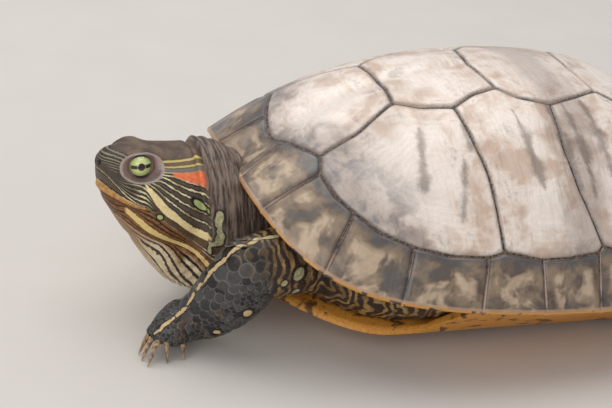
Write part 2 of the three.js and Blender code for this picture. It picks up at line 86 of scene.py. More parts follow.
def finish_with(piece, kind, **settings):
    """Adds one modifier to a piece and applies it."""
    pick(piece)
    modifier = piece.modifiers.new(kind.title(), kind)
    for name, value in settings.items():
        setattr(modifier, name, value)
    bpy.ops.object.modifier_apply(modifier=modifier.name)
    return piece


def note(piece, name, values):
    """Keeps one number for each point of a piece, for its material to read."""
    attribute = piece.data.attributes.new(name, "FLOAT", "POINT")
    attribute.data.foreach_set("value", np.asarray(values, float))


def ramp(t, low, high):
    s = np.clip((np.asarray(t, float) - low) / (high - low), 0, 1)
    return s * s * (3 - 2 * s)


# %% [markdown]
# ## The frames the animal was drawn in
# The shell is drawn level, from its front edge backwards, then pitched so that its rear lies on the
# floor. The head has a frame of its own, between the eyes, turned, dipped and rolled a little. Both end
# in the row frame, whose origin is the middle of the animal on the floor.

# %% Shell, head and row frames
ORIGIN_SHIFT = np.array([-84.34, 2.53, 0.0])
SHELL_PITCH = math.radians(3.8)
REST_POINT = 165.0
HEAD_PLACE = np.array([-26.5, 0.0, 46.9])
HEAD_TURN = np.array(
    Matrix.Rotation(math.radians(5.7), 3, "Z")
    @ Matrix.Rotation(math.radians(-1.6), 3, "Y")
    @ Matrix.Rotation(math.radians(-7.5), 3, "X")
)


def from_shell(points):
    x, y, z = np.asarray(points, float).T
    c, s = math.cos(SHELL_PITCH), math.sin(SHELL_PITCH)
    turned = np.stack([x * c + z * s, y, -x * s + z * c + REST_POINT * s], axis=1)
    return turned + ORIGIN_SHIFT


def to_shell(points):
    x, y, z = (np.asarray(points, float) - ORIGIN_SHIFT).T
    c, s = math.cos(SHELL_PITCH), math.sin(SHELL_PITCH)
    z = z - REST_POINT * s
    return np.stack([x * c - z * s, y, x * s + z * c], axis=1)


def from_head(points):
    return np.asarray(points, float) @ HEAD_TURN.T + HEAD_PLACE + ORIGIN_SHIFT


def to_head(points):
    return (np.asarray(points, float) - ORIGIN_SHIFT - HEAD_PLACE) @ HEAD_TURN


print("head's origin in the row frame", from_head([[0, 0, 0]]).round(1))

# %% [markdown]
# ## The dome
# A turtle's carapace is a vault of bone under thin horn plates. Its rim is a squared oval that climbs
# over the neck, and every point inside it lies on one smooth vault, so a plate can be laid anywhere once
# its outline in plan is known.

# %% The rim and the vault over it
SHELL_LENGTH = 200.0
SHELL_HALF_WIDTH = 72.0
SHELL_SQUARENESS = 0.6
REAR_FLARE = 0.04
DOME_HEIGHT = 77.5
DOME_POWER = 2.46
RIM_HEIGHT = 23.0
FRONT_RISE = 19.2
FRONT_STEEPNESS = 6.2
NUCHAL_NOTCH = 4.0
NUCHAL_WIDTH = 8.0
MIDDLE = SHELL_LENGTH / 2


def rim_at(angle):
    """x, y and z of the rim at an angle from the nuchal, 0, to the rear, pi."""
    c, s = np.cos(angle), np.sin(angle)
    reach = SHELL_HALF_WIDTH * np.abs(s) ** SHELL_SQUARENESS * (1 + REAR_FLARE * ramp(-c, 0.2, 0.8))
    notch = NUCHAL_NOTCH * np.exp(-((reach / NUCHAL_WIDTH) ** 2)) * (c > 0)
    height = RIM_HEIGHT + FRONT_RISE * np.maximum(c, 0) ** FRONT_STEEPNESS
    return MIDDLE * (1 - c) + notch, np.sign(s) * reach, height


RIM_STEPS = np.linspace(0, math.pi, 1441)
RIM_X, RIM_Y, RIM_Z = rim_at(RIM_STEPS)
RIM_BEARING = np.arctan2(RIM_Y, MIDDLE - RIM_X)
RIM_REACH = np.hypot(RIM_Y, MIDDLE - RIM_X)


def dome_height(x, y):
    bearing = np.arctan2(np.abs(y), MIDDLE - x)
    share = np.hypot(x - MIDDLE, y) / np.interp(bearing, RIM_BEARING, RIM_REACH)
    rim_z = np.interp(bearing, RIM_BEARING, RIM_Z)
    return rim_z + (DOME_HEIGHT - rim_z) * (1 - np.minimum(share, 1.1) ** DOME_POWER)


def on_dome(x, y, lift):
    """Points on the vault at places in plan, lifted off it along its normal."""
    step = 0.4
    slope_x = (dome_height(x + step, y) - dome_height(x - step, y)) / (2 * step)
    slope_y = (dome_height(x, y + step) - dome_height(x, y - step)) / (2 * step)
    up = np.stack([-slope_x, -slope_y, np.ones_like(slope_x)], axis=1)
    up /= np.linalg.norm(up, axis=1, keepdims=True)
    return np.stack([x, y, dome_height(x, y)], axis=1) + up * np.asarray(lift)[..., None]


print("rim half-width at the middle", round(float(rim_at(np.array(math.pi / 2))[1]), 1))

# %% [markdown]
# ## Where the plates meet
# Thirty-eight plates cover the vault: five vertebrals along the back, four costals down each side, a
# small nuchal over the neck, and twelve marginals round each half of the rim. Their seams are given in
# plan for the left half, as lengths from the front edge and from the midline, and the right half is the
# mirror image. Each seam has only the points at which it bends.

# %% Seams of the left half, from corner to corner
MEASURED_RIM_SEAMS = [3.0, 13.3, 34.9, 53.5, 69.9, 82.6, 94.1]
REAR_MARGINALS = 6
TOP_SHARE = 0.875


def rear_seams():
    """Angles that part the rear half of the rim into equal lengths."""
    length = np.concatenate([[0], np.cumsum(np.hypot(np.diff(RIM_X), np.diff(RIM_Y)))])
    start = np.interp(math.radians(MEASURED_RIM_SEAMS[-1]), RIM_STEPS, length)
    marks = np.linspace(start, length[-1], REAR_MARGINALS + 1)[1:]
    return list(np.interp(marks, length, RIM_STEPS))


RIM_SEAMS = [math.radians(a) for a in MEASURED_RIM_SEAMS] + rear_seams()


def at_share(angle, share=TOP_SHARE):
    """A place in plan at a share of the way from the crown to the rim."""
    x, y, _ = rim_at(np.array(angle))
    return (float(MIDDLE + (x - MIDDLE) * share), float(y * share))


def between_seams(k, t):
    return RIM_SEAMS[k] + (RIM_SEAMS[k + 1] - RIM_SEAMS[k]) * t


C3_FOOT = at_share(between_seams(8, 0.15))
C4_FOOT = at_share(between_seams(10, 0.3))
N_V1 = [(14.6, 9.7), (13.6, 5.0), (13.4, 0.0)]
V1_M1 = [(21.3, 24.4), (17.2, 17.0), (14.6, 9.7)]
V1_V2 = [(47.5, 15.3), (48.3, 6.0), (48.6, 0.0)]
V2_V3 = [(83.2, 16.1), (81.6, 7.6), (80.6, 0.0)]
V3_V4 = [(121.0, 17.0), (119.6, 8.0), (119.2, 0.0)]
V4_V5 = [(157.0, 13.5), (158.2, 6.0), (158.6, 0.0)]
C1_M1 = [(21.3, 24.4), (20.1, 29.8)]
C1_C2 = [(65.9, 22.9), (68.8, 36.8), (71.2, 45.0), (72.4, 54.0), (73.5, 61.1)]
C2_C3 = [(100.1, 24.9), (99.4, 40.0), (102.0, 50.0), (106.0, 57.0), (108.9, 61.6)]
C3_C4 = [(140.0, 24.0), (143.0, 40.0), C3_FOOT]
C4_V5 = [(157.0, 13.5), (168.0, 21.0), C4_FOOT]
V1_C1 = [(21.3, 24.4), (34.0, 22.6), (47.5, 15.3)]
V2_C1 = [(47.5, 15.3), (55.0, 20.4), (65.9, 22.9)]
V2_C2 = [(65.9, 22.9), (74.0, 18.6), (83.2, 16.1)]
V3_C2 = [(83.2, 16.1), (89.0, 21.6), (100.1, 24.9)]
V3_C3 = [(100.1, 24.9), (112.0, 21.0), (121.0, 17.0)]
V4_C3 = [(121.0, 17.0), (129.0, 22.2), (140.0, 24.0)]
V4_C4 = [(140.0, 24.0), (149.0, 20.0), (157.0, 13.5)]
M2_C1 = [(20.1, 29.8), (23.0, 37.4), (27.9, 43.2)]
M3_C1 = [(27.9, 43.2), (35.0, 49.6), (44.7, 54.9)]
M4_C1 = [(44.7, 54.9), (55.7, 58.9), (68.2, 61.3)]
M5_C1 = [(68.2, 61.3), (73.5, 61.1)]
M5_C2 = [(73.5, 61.1), (86.5, 63.5)]
M6_C2 = [(86.5, 63.5), (96.1, 63.7), (107.4, 62.9)]
M7_C2 = [(107.4, 62.9), (108.9, 61.6)]
M7_C3 = [(108.9, 61.6), at_share(between_seams(6, 0.5)), at_share(RIM_SEAMS[7])]
M8_C3 = [at_share(RIM_SEAMS[7]), at_share(between_seams(7, 0.5)), at_share(RIM_SEAMS[8])]
M9_C3 = [at_share(RIM_SEAMS[8]), C3_FOOT]
M9_C4 = [C3_FOOT, at_share(between_seams(8, 0.6)), at_share(RIM_SEAMS[9])]
M10_C4 = [at_share(RIM_SEAMS[9]), at_share(between_seams(9, 0.5)), at_share(RIM_SEAMS[10])]
M11_C4 = [at_share(RIM_SEAMS[10]), C4_FOOT]
M11_V5 = [C4_FOOT, at_share(between_seams(10, 0.65)), at_share(RIM_SEAMS[11])]
M12_V5 = [at_share(RIM_SEAMS[11]), at_share(between_seams(11, 0.5)), (at_share(math.pi)[0], 0.0)]
print("rear marginals", round(float(np.degrees(RIM_SEAMS[8]))), "degrees at the fourth of them")


# %% [markdown]
# ## From seams to plates
# A plate is a grid whose four sides are seams: its inner points are blended from the sides, as a sheet
# of paper bent to four edges would lie. The plate is thickest in its middle and dips at its edge under
# the level of the dark bed, which shows as the seam. Low rings round the middle are the yearly growth.

# %% Stretching a grid between four seams
PLATE_LIFT = 0.3
EDGE_DROP = 1.15
EDGE_WIDTH = 0.55
RING_SPACING = 1.9
RING_HEIGHT = 0.05
BED_DEPTH = 0.62
PLATE_BACK = 0.8
PLATE_CELL = 0.75


def joined(*seams):
    places = list(seams[0])
    for seam in seams[1:]:
        places += list(seam)[1:]
    return places


def both_halves(seam):
    """A seam that ends on the midline, carried on to its mirror image."""
    return list(seam) + [(x, -y) for x, y in reversed(seam[:-1])]


def mirrored(seam):
    return [(x, -y) for x, y in seam]


def along(seam, t):
    """Places at shares t of a seam's length, rounded a little at its bends."""
    bends = np.array(seam, float)
    length = np.concatenate([[0], np.cumsum(np.linalg.norm(np.diff(bends, axis=0), axis=1))])
    length /= length[-1]
    reach = 0.0 if len(bends) == 2 else 0.035
    shares = [np.clip(t + d, 0, 1) for d in (-reach, -reach / 2, 0, reach / 2, reach)]
    keep = np.minimum(np.minimum(t, 1 - t) / max(reach, 1e-9), 1)[:, None]
    sharp = np.stack([np.interp(t, length, bends[:, k]) for k in (0, 1)], axis=1)
    soft = sum(np.stack([np.interp(s, length, bends[:, k]) for k in (0, 1)], axis=1) for s in shares) / 5
    return sharp * (1 - keep) + soft * keep


def stretch(front, rear, left, right, u, v):
    """The blend of four sides at (u, v): front and rear run with u, left and right with v."""
    f, r, a, b = along(front, u), along(rear, u), along(left, v), along(right, v)
    u, v = u[:, None], v[:, None]
    corners = (
        (1 - u) * (1 - v) * np.array(front[0]) + u * (1 - v) * np.array(front[-1])
        + (1 - u) * v * np.array(rear[0]) + u * v * np.array(rear[-1])
    )
    return (1 - v) * f + v * r + (1 - u) * a + u * b - corners


def span(seam):
    return float(np.linalg.norm(np.diff(np.array(seam, float), axis=0), axis=1).sum())


def edge_distance(points, u, v):
    """How far each point of a grid is from the grid's own edge."""
    rim_points = points[(u < 1e-6) | (u > 1 - 1e-6) | (v < 1e-6) | (v > 1 - 1e-6)]
    gaps = np.full(len(points), 1e9)
    for start in range(0, len(rim_points), 64):
        chunk = rim_points[start:start + 64]
        gaps = np.minimum(gaps, np.linalg.norm(points[:, None] - chunk[None], axis=2).min(axis=1))
    return gaps


def plate_lift(edge, age=1.0):
    drop = EDGE_DROP * np.exp(-((edge / EDGE_WIDTH) ** 1.3))
    rings = RING_HEIGHT * age * np.sin(edge * math.tau / RING_SPACING) * ramp(edge, 0.6, 2.0)
    return PLATE_LIFT - drop + rings * (1 - ramp(edge, 9, 16))


def new_grid(name, across, down):
    bpy.ops.object.select_all(action="DESELECT")
    bpy.ops.mesh.primitive_grid_add(x_subdivisions=across, y_subdivisions=down, size=1.0)
    sheet = bpy.context.object
    sheet.name = sheet.data.name = name
    flat = points_of(sheet) / MM + 0.5
    return sheet, flat[:, 0], flat[:, 1]


def close_sheet(sheet, outward):
    """Turns the sheet to face outward, then gives it its thickness."""
    normals = normals_of(sheet)
    if float((normals * outward).sum()) < 0:
        pick(sheet)
        bpy.ops.object.mode_set(mode="EDIT")
        bpy.ops.mesh.select_all(action="SELECT")
        bpy.ops.mesh.flip_normals()
        bpy.ops.object.mode_set(mode="OBJECT")
    finish_with(sheet, "SOLIDIFY", thickness=PLATE_BACK / MM, offset=-1)
    pick(sheet)
    bpy.ops.object.shade_smooth_by_angle(angle=math.radians(50))
    return sheet


def vault_plate(name, front, rear, left, right, age=1.0):
    cells = [max(8, round(max(span(a), span(b)) / PLATE_CELL)) for a, b in ((front, rear), (left, right))]
    sheet, u, v = new_grid(name, *cells)
    places = stretch(front, rear, left, right, u, v)
    level = on_dome(places[:, 0], places[:, 1], np.zeros(len(u)))
    edge = edge_distance(level, u, v)
    shell_points = on_dome(places[:, 0], places[:, 1], plate_lift(edge, age))
    move_points(sheet, from_shell(shell_points))
    note(sheet, "edge", edge)
    note(sheet, "band", np.zeros(len(u)))
    return close_sheet(sheet, np.array([0, 0, 1.0]))


# %% The vertebrals and costals
plates = []
MIDLINE_PLATES = {
    "vertebral_1": ([(21.3, 24.4), *V1_M1[1:], *N_V1[1:]], V1_V2, V1_C1),
    "vertebral_2": (V1_V2, V2_V3, joined(V2_C1, V2_C2)),
    "vertebral_3": (V2_V3, V3_V4, joined(V3_C2, V3_C3)),
    "vertebral_4": (V3_V4, V4_V5, joined(V4_C3, V4_C4)),
    "vertebral_5": (V4_V5, joined(M11_V5, M12_V5), C4_V5),
}
SIDE_PLATES = {
    "costal_1": (C1_M1, C1_C2, joined(V1_C1, V2_C1), joined(M2_C1, M3_C1, M4_C1, M5_C1)),
    "costal_2": (C1_C2, C2_C3, joined(V2_C2, V3_C2), joined(M5_C2, M6_C2, M7_C2)),
    "costal_3": (C2_C3, C3_C4, joined(V3_C3, V4_C3), joined(M7_C3, M8_C3, M9_C3)),
    "costal_4": (C3_C4, C4_V5, V4_C4, joined(M9_C4, M10_C4, M11_C4)),
}
for name, (front, rear, side) in MIDLINE_PLATES.items():
    plates.append(vault_plate(name, both_halves(front), both_halves(rear), side, mirrored(side), 0.6))
for name, sides in SIDE_PLATES.items():
    plates.append(vault_plate(name + "_right", *sides))
    plates.append(vault_plate(name + "_left", *(mirrored(side) for side in sides)))
print(len(plates), "vault plates,", sum(len(p.data.polygons) for p in plates), "faces")

# %% [markdown]
# A marginal is folded over the rim: its upper part lies on the vault, then it turns round the thin edge
# and runs back underneath to the bridge or to the loose skin. Its grid therefore runs from the costal's
# foot out to the rim, and on round the edge. Towards the rear each marginal's corners draw in a little,
# which gives the slider its notched rear rim.

# %% The nuchal and the marginals
RIM_TURN = 0.62
EDGE_ROUND = 0.8
UNDERSIDE_DEPTH = 7.6
UNDERSIDE_DROP = 2.2
NOTCH_DEPTH = 1.3
MARGINAL_CELLS = 34


def notch_at(angle):
    """How far the rim draws in beside a rear seam."""
    to_seam = np.min([np.abs(angle - seam) for seam in RIM_SEAMS[7:-1]], axis=0)
    return NOTCH_DEPTH * np.exp(-((to_seam / 0.045) ** 2)) * ramp(angle, 1.9, 2.4)


def rim_plate_points(top, angles, v, lift):
    """Points of a plate that is folded over the rim, in the shell's frame."""
    rim_x, rim_y, rim_z = rim_at(angles)
    out = np.stack([rim_x - MIDDLE, rim_y], axis=1)
    reach = np.linalg.norm(out, axis=1)
    out = out / reach[:, None]
    rim = np.array([MIDDLE, 0]) + out * (reach - notch_at(angles))[:, None]
    above = np.clip(v / RIM_TURN, 0, 1)[:, None]
    level = top + (rim - top) * above
    upper = on_dome(level[:, 0], level[:, 1], lift * (1 - 0.6 * above[:, 0]))
    below = np.clip((v - RIM_TURN) / (1 - RIM_TURN), 0, 1)
    round_share = np.clip(below / 0.28, 0, 1) * math.pi
    flat_share = np.clip((below - 0.28) / 0.72, 0, 1)
    inward = EDGE_ROUND * (-np.sin(round_share)) + UNDERSIDE_DEPTH * flat_share
    down = EDGE_ROUND * (1 - np.cos(round_share)) + (UNDERSIDE_DROP - 2 * EDGE_ROUND) * ramp(flat_share, 0, 1)
    edge_points = np.column_stack([rim - out * inward[:, None], rim_z + lift * 0.4 - down])
    return np.where((v > RIM_TURN)[:, None], edge_points, upper)


def rim_plate(name, top, first, last, side):
    """One marginal: top is its upper seam, first and last are its angles on the rim, side is 1 or -1."""
    widest = max(span(top), float(np.hypot(*(np.array(at_share(first, 1)) - np.array(at_share(last, 1))))))
    sheet, u, v = new_grid(name, max(8, round(widest / PLATE_CELL)), MARGINAL_CELLS)
    angles = first + (last - first) * u
    upper_seam = along(top, u)
    level = rim_plate_points(upper_seam, angles, v, np.zeros(len(u)))
    edge = edge_distance(level, u, v)
    lift = plate_lift(edge, 0.7)
    points = rim_plate_points(upper_seam, angles, v, lift)
    outward = points - np.array([MIDDLE, 0, RIM_HEIGHT])
    outward[:, 2] = np.where(v > RIM_TURN, -20, 20)
    points[:, 1] *= side
    outward[:, 1] *= side
    move_points(sheet, from_shell(points))
    note(sheet, "edge", edge)
    note(sheet, "band", np.where(v > RIM_TURN, 1 + (v - RIM_TURN) / (1 - RIM_TURN), v / RIM_TURN))
    return close_sheet(sheet, outward)


MARGINAL_TOPS = [
    list(reversed(V1_M1)), M2_C1, M3_C1, M4_C1, joined(M5_C1, M5_C2), M6_C2, joined(M7_C2, M7_C3),
    M8_C3, joined(M9_C3, M9_C4), M10_C4, joined(M11_C4, M11_V5), M12_V5,
]
MARGINAL_TOPS[0] = MARGINAL_TOPS[0] + C1_M1[1:]
for k, top in enumerate(MARGINAL_TOPS):
    for side, word in ((1, "right"), (-1, "left")):
        plates.append(rim_plate(f"marginal_{k + 1}_{word}", top, RIM_SEAMS[k], RIM_SEAMS[k + 1], side))


def nuchal_plate():
    """The small plate over the neck, which crosses the midline."""
    sheet, u, v = new_grid("nuchal", 22, MARGINAL_CELLS)
    swing = (u * 2 - 1) * RIM_SEAMS[0]
    top = along(both_halves([(x, -y) for x, y in N_V1]), u)
    level = rim_plate_points(top, swing, v, np.zeros(len(u)))
    edge = edge_distance(level, u, v)
    points = rim_plate_points(top, swing, v, plate_lift(edge, 0.7))
    outward = np.where((v > RIM_TURN)[:, None], [0, 0, -1.0], [0, 0, 1.0])
    move_points(sheet, from_shell(points))
    note(sheet, "edge", edge)
    note(sheet, "band", np.where(v > RIM_TURN, 1 + (v - RIM_TURN) / (1 - RIM_TURN), v / RIM_TURN))
    return close_sheet(sheet, outward)


plates.append(nuchal_plate())
print(len(plates), "plates of the carapace,", sum(len(p.data.polygons) for p in plates), "faces")

# %% [markdown]
# ## The bed under the plates
# Living keratin and bone show between the plates as the seam. One closed vault, a little smaller than
# the plates, stands for it: a sphere whose upper half is laid under the dome and whose lower half is the
# hollow inside. The plates hide all of it except the seams and the underside.

# %% A sphere laid into the carapace
BED_SEGMENTS = 180
BED_RINGS = 90
LINING_DEPTH = 4.5
BED_RIM_INSET = 0.9


def new_ball(name, segments, rings):
    """A sphere with, for each of its points, the bearing round it and the way down from its pole."""
    bpy.ops.object.select_all(action="DESELECT")
    bpy.ops.mesh.primitive_uv_sphere_add(segments=segments, ring_count=rings, radius=1)
    ball = bpy.context.object
    ball.name = ball.data.name = name
    x, y, z = (points_of(ball) / MM).T
    return ball, np.arctan2(y, -x), np.arccos(np.clip(z, -1, 1)) / math.pi * 2


def dome_at(angle, share, inset):
    rim_x, rim_y, rim_z = rim_at(angle)
    out = np.stack([rim_x - MIDDLE, rim_y], axis=1)
    reach = np.linalg.norm(out, axis=1)
    plan = np.array([MIDDLE, 0]) + out * (share * (reach - inset) / reach)[:, None]
    height = rim_z + (DOME_HEIGHT - inset - rim_z) * (1 - share ** DOME_POWER)
    return np.column_stack([plan, height])


def shell_bed():
    bed, bearing, way = new_ball("shell_bed", BED_SEGMENTS, BED_RINGS)
    half = np.abs(bearing) / math.pi
    angle = np.sign(bearing) * math.pi * ramp(half, 0, 1)
    top = dome_at(angle, np.minimum(way, 1) ** 0.7, BED_DEPTH)
    lining = dome_at(angle, np.clip((2 - way) / 0.8, 0, 1) * 0.9, LINING_DEPTH)
    edge = dome_at(angle, np.ones_like(way), BED_RIM_INSET + 6.0 * ramp(way, 1.0, 1.2))
    edge[:, 2] -= 1.9 * ramp(way, 1.0, 1.05)
    under = ramp(way, 1.0, 1.02)[:, None]
    inside = ramp(way, 1.16, 1.2)[:, None]
    points = top * (1 - under) + (edge * (1 - inside) + lining * inside) * under
    move_points(bed, from_shell(points))
    shade_smooth(bed)
    return bed


def shade_smooth(piece, angle=60):
    pick(piece)
    bpy.ops.object.shade_smooth_by_angle(angle=math.radians(angle))


bed = shell_bed()
print("shell bed:", len(bed.data.polygons), "faces")


# %% [markdown]
# ## The plastron
# The belly shell is the same kind of vault turned flat: six pairs of yellow plates, joined to the
# carapace by a bridge on each side. A sphere is laid through rings from the middle of its underside,
# round its edge and over its top, so it closes by itself. Its seams are pressed in afterwards.

# %% Rings of the plastron
PLASTRON_FRONT, PLASTRON_REAR = 4.0, 187.0
PLASTRON_HALF_WIDTH = 48.0
PLASTRON_THICKNESS = 4.0
PLASTRON_UPTURN = 2.2
FRONT_LOBE_END, HIND_LOBE_START = 46.0, 138.0
BRIDGE_FRONT, BRIDGE_REAR, BRIDGE_BLEND = 62.0, 136.0, 6.0


def plastron_half_width(x):
    front = np.clip((FRONT_LOBE_END - x) / (FRONT_LOBE_END - PLASTRON_FRONT), 0, 1)
    rear = np.clip((x - HIND_LOBE_START) / (PLASTRON_REAR - HIND_LOBE_START), 0, 1)
    waist = PLASTRON_HALF_WIDTH - 2 * ramp(x, FRONT_LOBE_END, HIND_LOBE_START)
    return waist * (1 - front ** 1.6) ** (1 / 1.4) * (1 - rear ** 2.6) ** 0.5


def bridge_share(x):
    front = ramp(x, BRIDGE_FRONT - BRIDGE_BLEND, BRIDGE_FRONT + BRIDGE_BLEND)
    return front * (1 - ramp(x, BRIDGE_REAR - BRIDGE_BLEND, BRIDGE_REAR + BRIDGE_BLEND))


def plastron_ring(angle, share=1.0, inward=0.0, height=0.0, bridge_in=None, bridge_down=0.0):
    length = PLASTRON_REAR - PLASTRON_FRONT
    centre = (PLASTRON_REAR + PLASTRON_FRONT) / 2
    x = PLASTRON_FRONT + length * (1 - np.cos(angle)) / 2
    half = plastron_half_width(x)
    scale = share * np.maximum(0, 1 - inward / np.hypot(x - centre, half))
    lift = PLASTRON_UPTURN * ramp(FRONT_LOBE_END - x, 8, 44) * scale
    point = np.stack([centre + (x - centre) * scale, half * scale, height + lift], axis=1)
    if bridge_in is not None:
        b = bridge_share(x)[:, None]
        rim_angle = np.arccos(np.clip(1 - x / MIDDLE, -1, 1))
        _, rim_y, rim_z = rim_at(rim_angle)
        outer = np.stack([x, np.abs(rim_y) - bridge_in, rim_z - bridge_down], axis=1)
        point = point * (1 - b) + outer * b
    point[:, 1] *= np.sign(np.sin(angle))
    return point


def belly():
    """The plastron, laid over a sphere from the middle of its underside to the middle of its top."""
    piece, bearing, way = new_ball("plastron_horn", 200, 120)
    half = np.abs(bearing) / math.pi
    angle = np.sign(bearing) * math.pi * ramp(half, 0, 1)
    top = PLASTRON_THICKNESS
    rings = [
        plastron_ring(angle, share=0.0),
        plastron_ring(angle, share=0.6),
        plastron_ring(angle, share=0.85),
        plastron_ring(angle, inward=3),
        plastron_ring(angle, height=1.2),
        plastron_ring(angle, inward=0.2, height=2.4, bridge_in=3.4, bridge_down=2.4),
        plastron_ring(angle, inward=1.4, height=top - 0.6, bridge_in=7.4, bridge_down=2.4),
        plastron_ring(angle, inward=6, height=top),
        plastron_ring(angle, share=0.6, height=top),
        plastron_ring(angle, share=0.0, height=top),
    ]
    stations = np.array([0, 0.6, 0.85, 1.0, 1.06, 1.35, 1.42, 1.5, 1.75, 2.0])
    turned = 2 - way
    step = np.clip(np.searchsorted(stations, turned, side="right") - 1, 0, len(stations) - 2)
    t = ((turned - stations[step]) / (stations[step + 1] - stations[step]))[:, None]
    stack = np.stack(rings)
    row = np.arange(len(way))
    points = stack[step, row] * (1 - t) + stack[step + 1, row] * t
    points = from_shell(points)
    points[:, 2] = np.maximum(points[:, 2], 0)
    move_points(piece, points)
    shade_smooth(piece, 40)
    return piece


plastron = belly()
print("plastron:", len(plastron.data.polygons), "faces")

# %% [markdown]
# ## The skin
# Head, neck, legs and tail wear one skin, so it has to be one mesh. It starts from copies of the CAD
# solids of flesh, with a mound laid over each eye, all a hair thicker than they are so that their thin
# cuts close. A voxel remesh turns the heap into one even surface, which is then smoothed and shaped.

# %% One surface from many solids
LEG_NAMES = ["foreleg_left", "foreleg_right", "hindleg_left", "hindleg_right"]
FOOT_NAMES = ["forefoot_left", "forefoot_right", "hindfoot_left", "hindfoot_right"]
FLESH = ["trunk", "neck", "head", "lower_jaw", "tail", *LEG_NAMES, *FOOT_NAMES]
SWELL = 0.22
SKIN_CELL = 0.95
EYE_CENTRE = np.array([-2.2, 5.6, 8.1])
EYE_RADIUS = 4.4
MOUND_CENTRE = np.array([-1.7, 5.4, 8.0])
MOUND_SIZE = np.array([6.9, 5.5, 5.2])


def copy_of(node):
    piece = bpy.data.objects.new(node + "_copy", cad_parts[node].data.copy())
    bpy.context.scene.collection.objects.link(piece)
    pick(piece)
    bpy.ops.object.mode_set(mode="EDIT")
    bpy.ops.mesh.select_all(action="SELECT")
    bpy.ops.mesh.remove_doubles(threshold=0.00002)
    bpy.ops.object.mode_set(mode="OBJECT")
    return piece


def head_ball(name, centre, size, side):
    """A ball in the head's frame, stretched to a size: side is 1 for the right and -1 for the left."""
    bpy.ops.object.select_all(action="DESELECT")
    bpy.ops.mesh.primitive_uv_sphere_add(segments=48, ring_count=32, radius=1)
    ball = bpy.context.object
    ball.name = name
    local = points_of(ball) / MM * size + centre
    local[:, 1] *= side
    move_points(ball, from_head(local))
    if side < 0:
        bpy.ops.object.mode_set(mode="EDIT")
        bpy.ops.mesh.flip_normals()
        bpy.ops.object.mode_set(mode="OBJECT")
    return ball


def raw_skin():
    heap = [copy_of(node) for node in FLESH]
    heap += [head_ball("mound", MOUND_CENTRE, MOUND_SIZE, side) for side in (1, -1)]
    skin = pick(*heap)
    bpy.ops.object.join()
    skin.name = skin.data.name = "skin"
    skin.data.materials.clear()
    finish_with(skin, "DISPLACE", strength=SWELL / MM, mid_level=0)
    finish_with(skin, "REMESH", mode="VOXEL", voxel_size=SKIN_CELL / MM)
    return skin


skin = raw_skin()
print("raw skin:", len(skin.data.polygons), "faces")

# %% [markdown]
# The remesh keeps the facets of the solids as faint flats. Plain smoothing would take them out but thin
# the toes, so each smoothing step is followed by a swelling one of nearly the same strength: small waves
# fade and large forms keep their size. What lies deep inside the shell is then thinned out, and the head
# is divided once more, because lids, mouth and fine stripes need smaller faces than a thigh does.

# %% Smoothing without shrinking
SMOOTH_STEPS = 90
SMOOTH_IN, SMOOTH_OUT = 0.60, -0.612
HIDDEN_SHARE = 0.76


def links_of(piece):
    pairs = np.empty(len(piece.data.edges) * 2, int)
    piece.data.edges.foreach_get("vertices", pairs)
    return pairs.reshape(-1, 2)


def relax(points, links, strength, weight=1.0):
    total = np.zeros_like(points)
    count = np.bincount(links.ravel(), minlength=len(points)).clip(1)
    for axis in range(3):
        total[:, axis] = np.bincount(links[:, 0], points[links[:, 1], axis], len(points))
        total[:, axis] += np.bincount(links[:, 1], points[links[:, 0], axis], len(points))
    return points + (total / count[:, None] - points) * strength * weight


def even_out(piece, steps, weight=1.0):
    points, links = points_of(piece), links_of(piece)
    for _ in range(steps):
        points = relax(points, links, SMOOTH_IN, weight)
        points = relax(points, links, SMOOTH_OUT, weight)
    move_points(piece, points)


def shares_of(points):
    """How far each point is from the crown, in plan, as a share of the rim's reach."""
    x, y, _ = to_shell(points).T
    bearing = np.arctan2(np.abs(y), MIDDLE - x)
    return np.hypot(x - MIDDLE, y) / np.interp(bearing, RIM_BEARING, RIM_REACH)


def group_of(piece, name, chosen):
    group = piece.vertex_groups.new(name=name)
    group.add([int(k) for k in np.flatnonzero(chosen)], 1.0, "REPLACE")
    return group


def thin_hidden(piece):
    points = points_of(piece)
    x = to_shell(points)[:, 0]
    hidden = (shares_of(points) < HIDDEN_SHARE) & (x > 22)
    group_of(piece, "hidden", hidden)
    share = hidden.mean()
    finish_with(piece, "DECIMATE", ratio=1 - 0.93 * share, vertex_group="hidden")
    piece.vertex_groups.clear()


HEAD_REAR = 20.0


def divide_head(piece):
    """Divides the faces of the head once more."""
    local = to_head(points_of(piece))
    chosen = (local[:, 0] < HEAD_REAR + 3) & (local[:, 2] > -34)
    pick(piece)
    bpy.ops.object.mode_set(mode="EDIT")
    bpy.ops.mesh.select_all(action="DESELECT")
    bpy.ops.object.mode_set(mode="OBJECT")
    loops = np.empty(len(piece.data.loops), int)
    piece.data.loops.foreach_get("vertex_index", loops)
    starts = np.empty(len(piece.data.polygons), int)
    piece.data.polygons.foreach_get("loop_start", starts)
    inside = np.minimum.reduceat(chosen[loops].astype(int), starts).astype(bool)
    piece.data.polygons.foreach_set("select", inside)
    bpy.ops.object.mode_set(mode="EDIT")
    bpy.ops.mesh.select_mode(type="FACE")
    bpy.ops.mesh.subdivide(number_cuts=1, smoothness=0)
    bpy.ops.object.mode_set(mode="OBJECT")


even_out(skin, SMOOTH_STEPS)
thin_hidden(skin)
divide_head(skin)
print("smooth skin:", len(skin.data.polygons), "faces")

# %% [markdown]
# ## Shaping the head
# Everything on the head is placed in the head's own frame: back from between the eyes, out to the side
# and up. The eyeball stays a separate piece, so the skin is drawn in behind it and stands round it as
# two lids with a rounded edge. The mouth is a narrow fold under the overhanging edge of the upper beak.

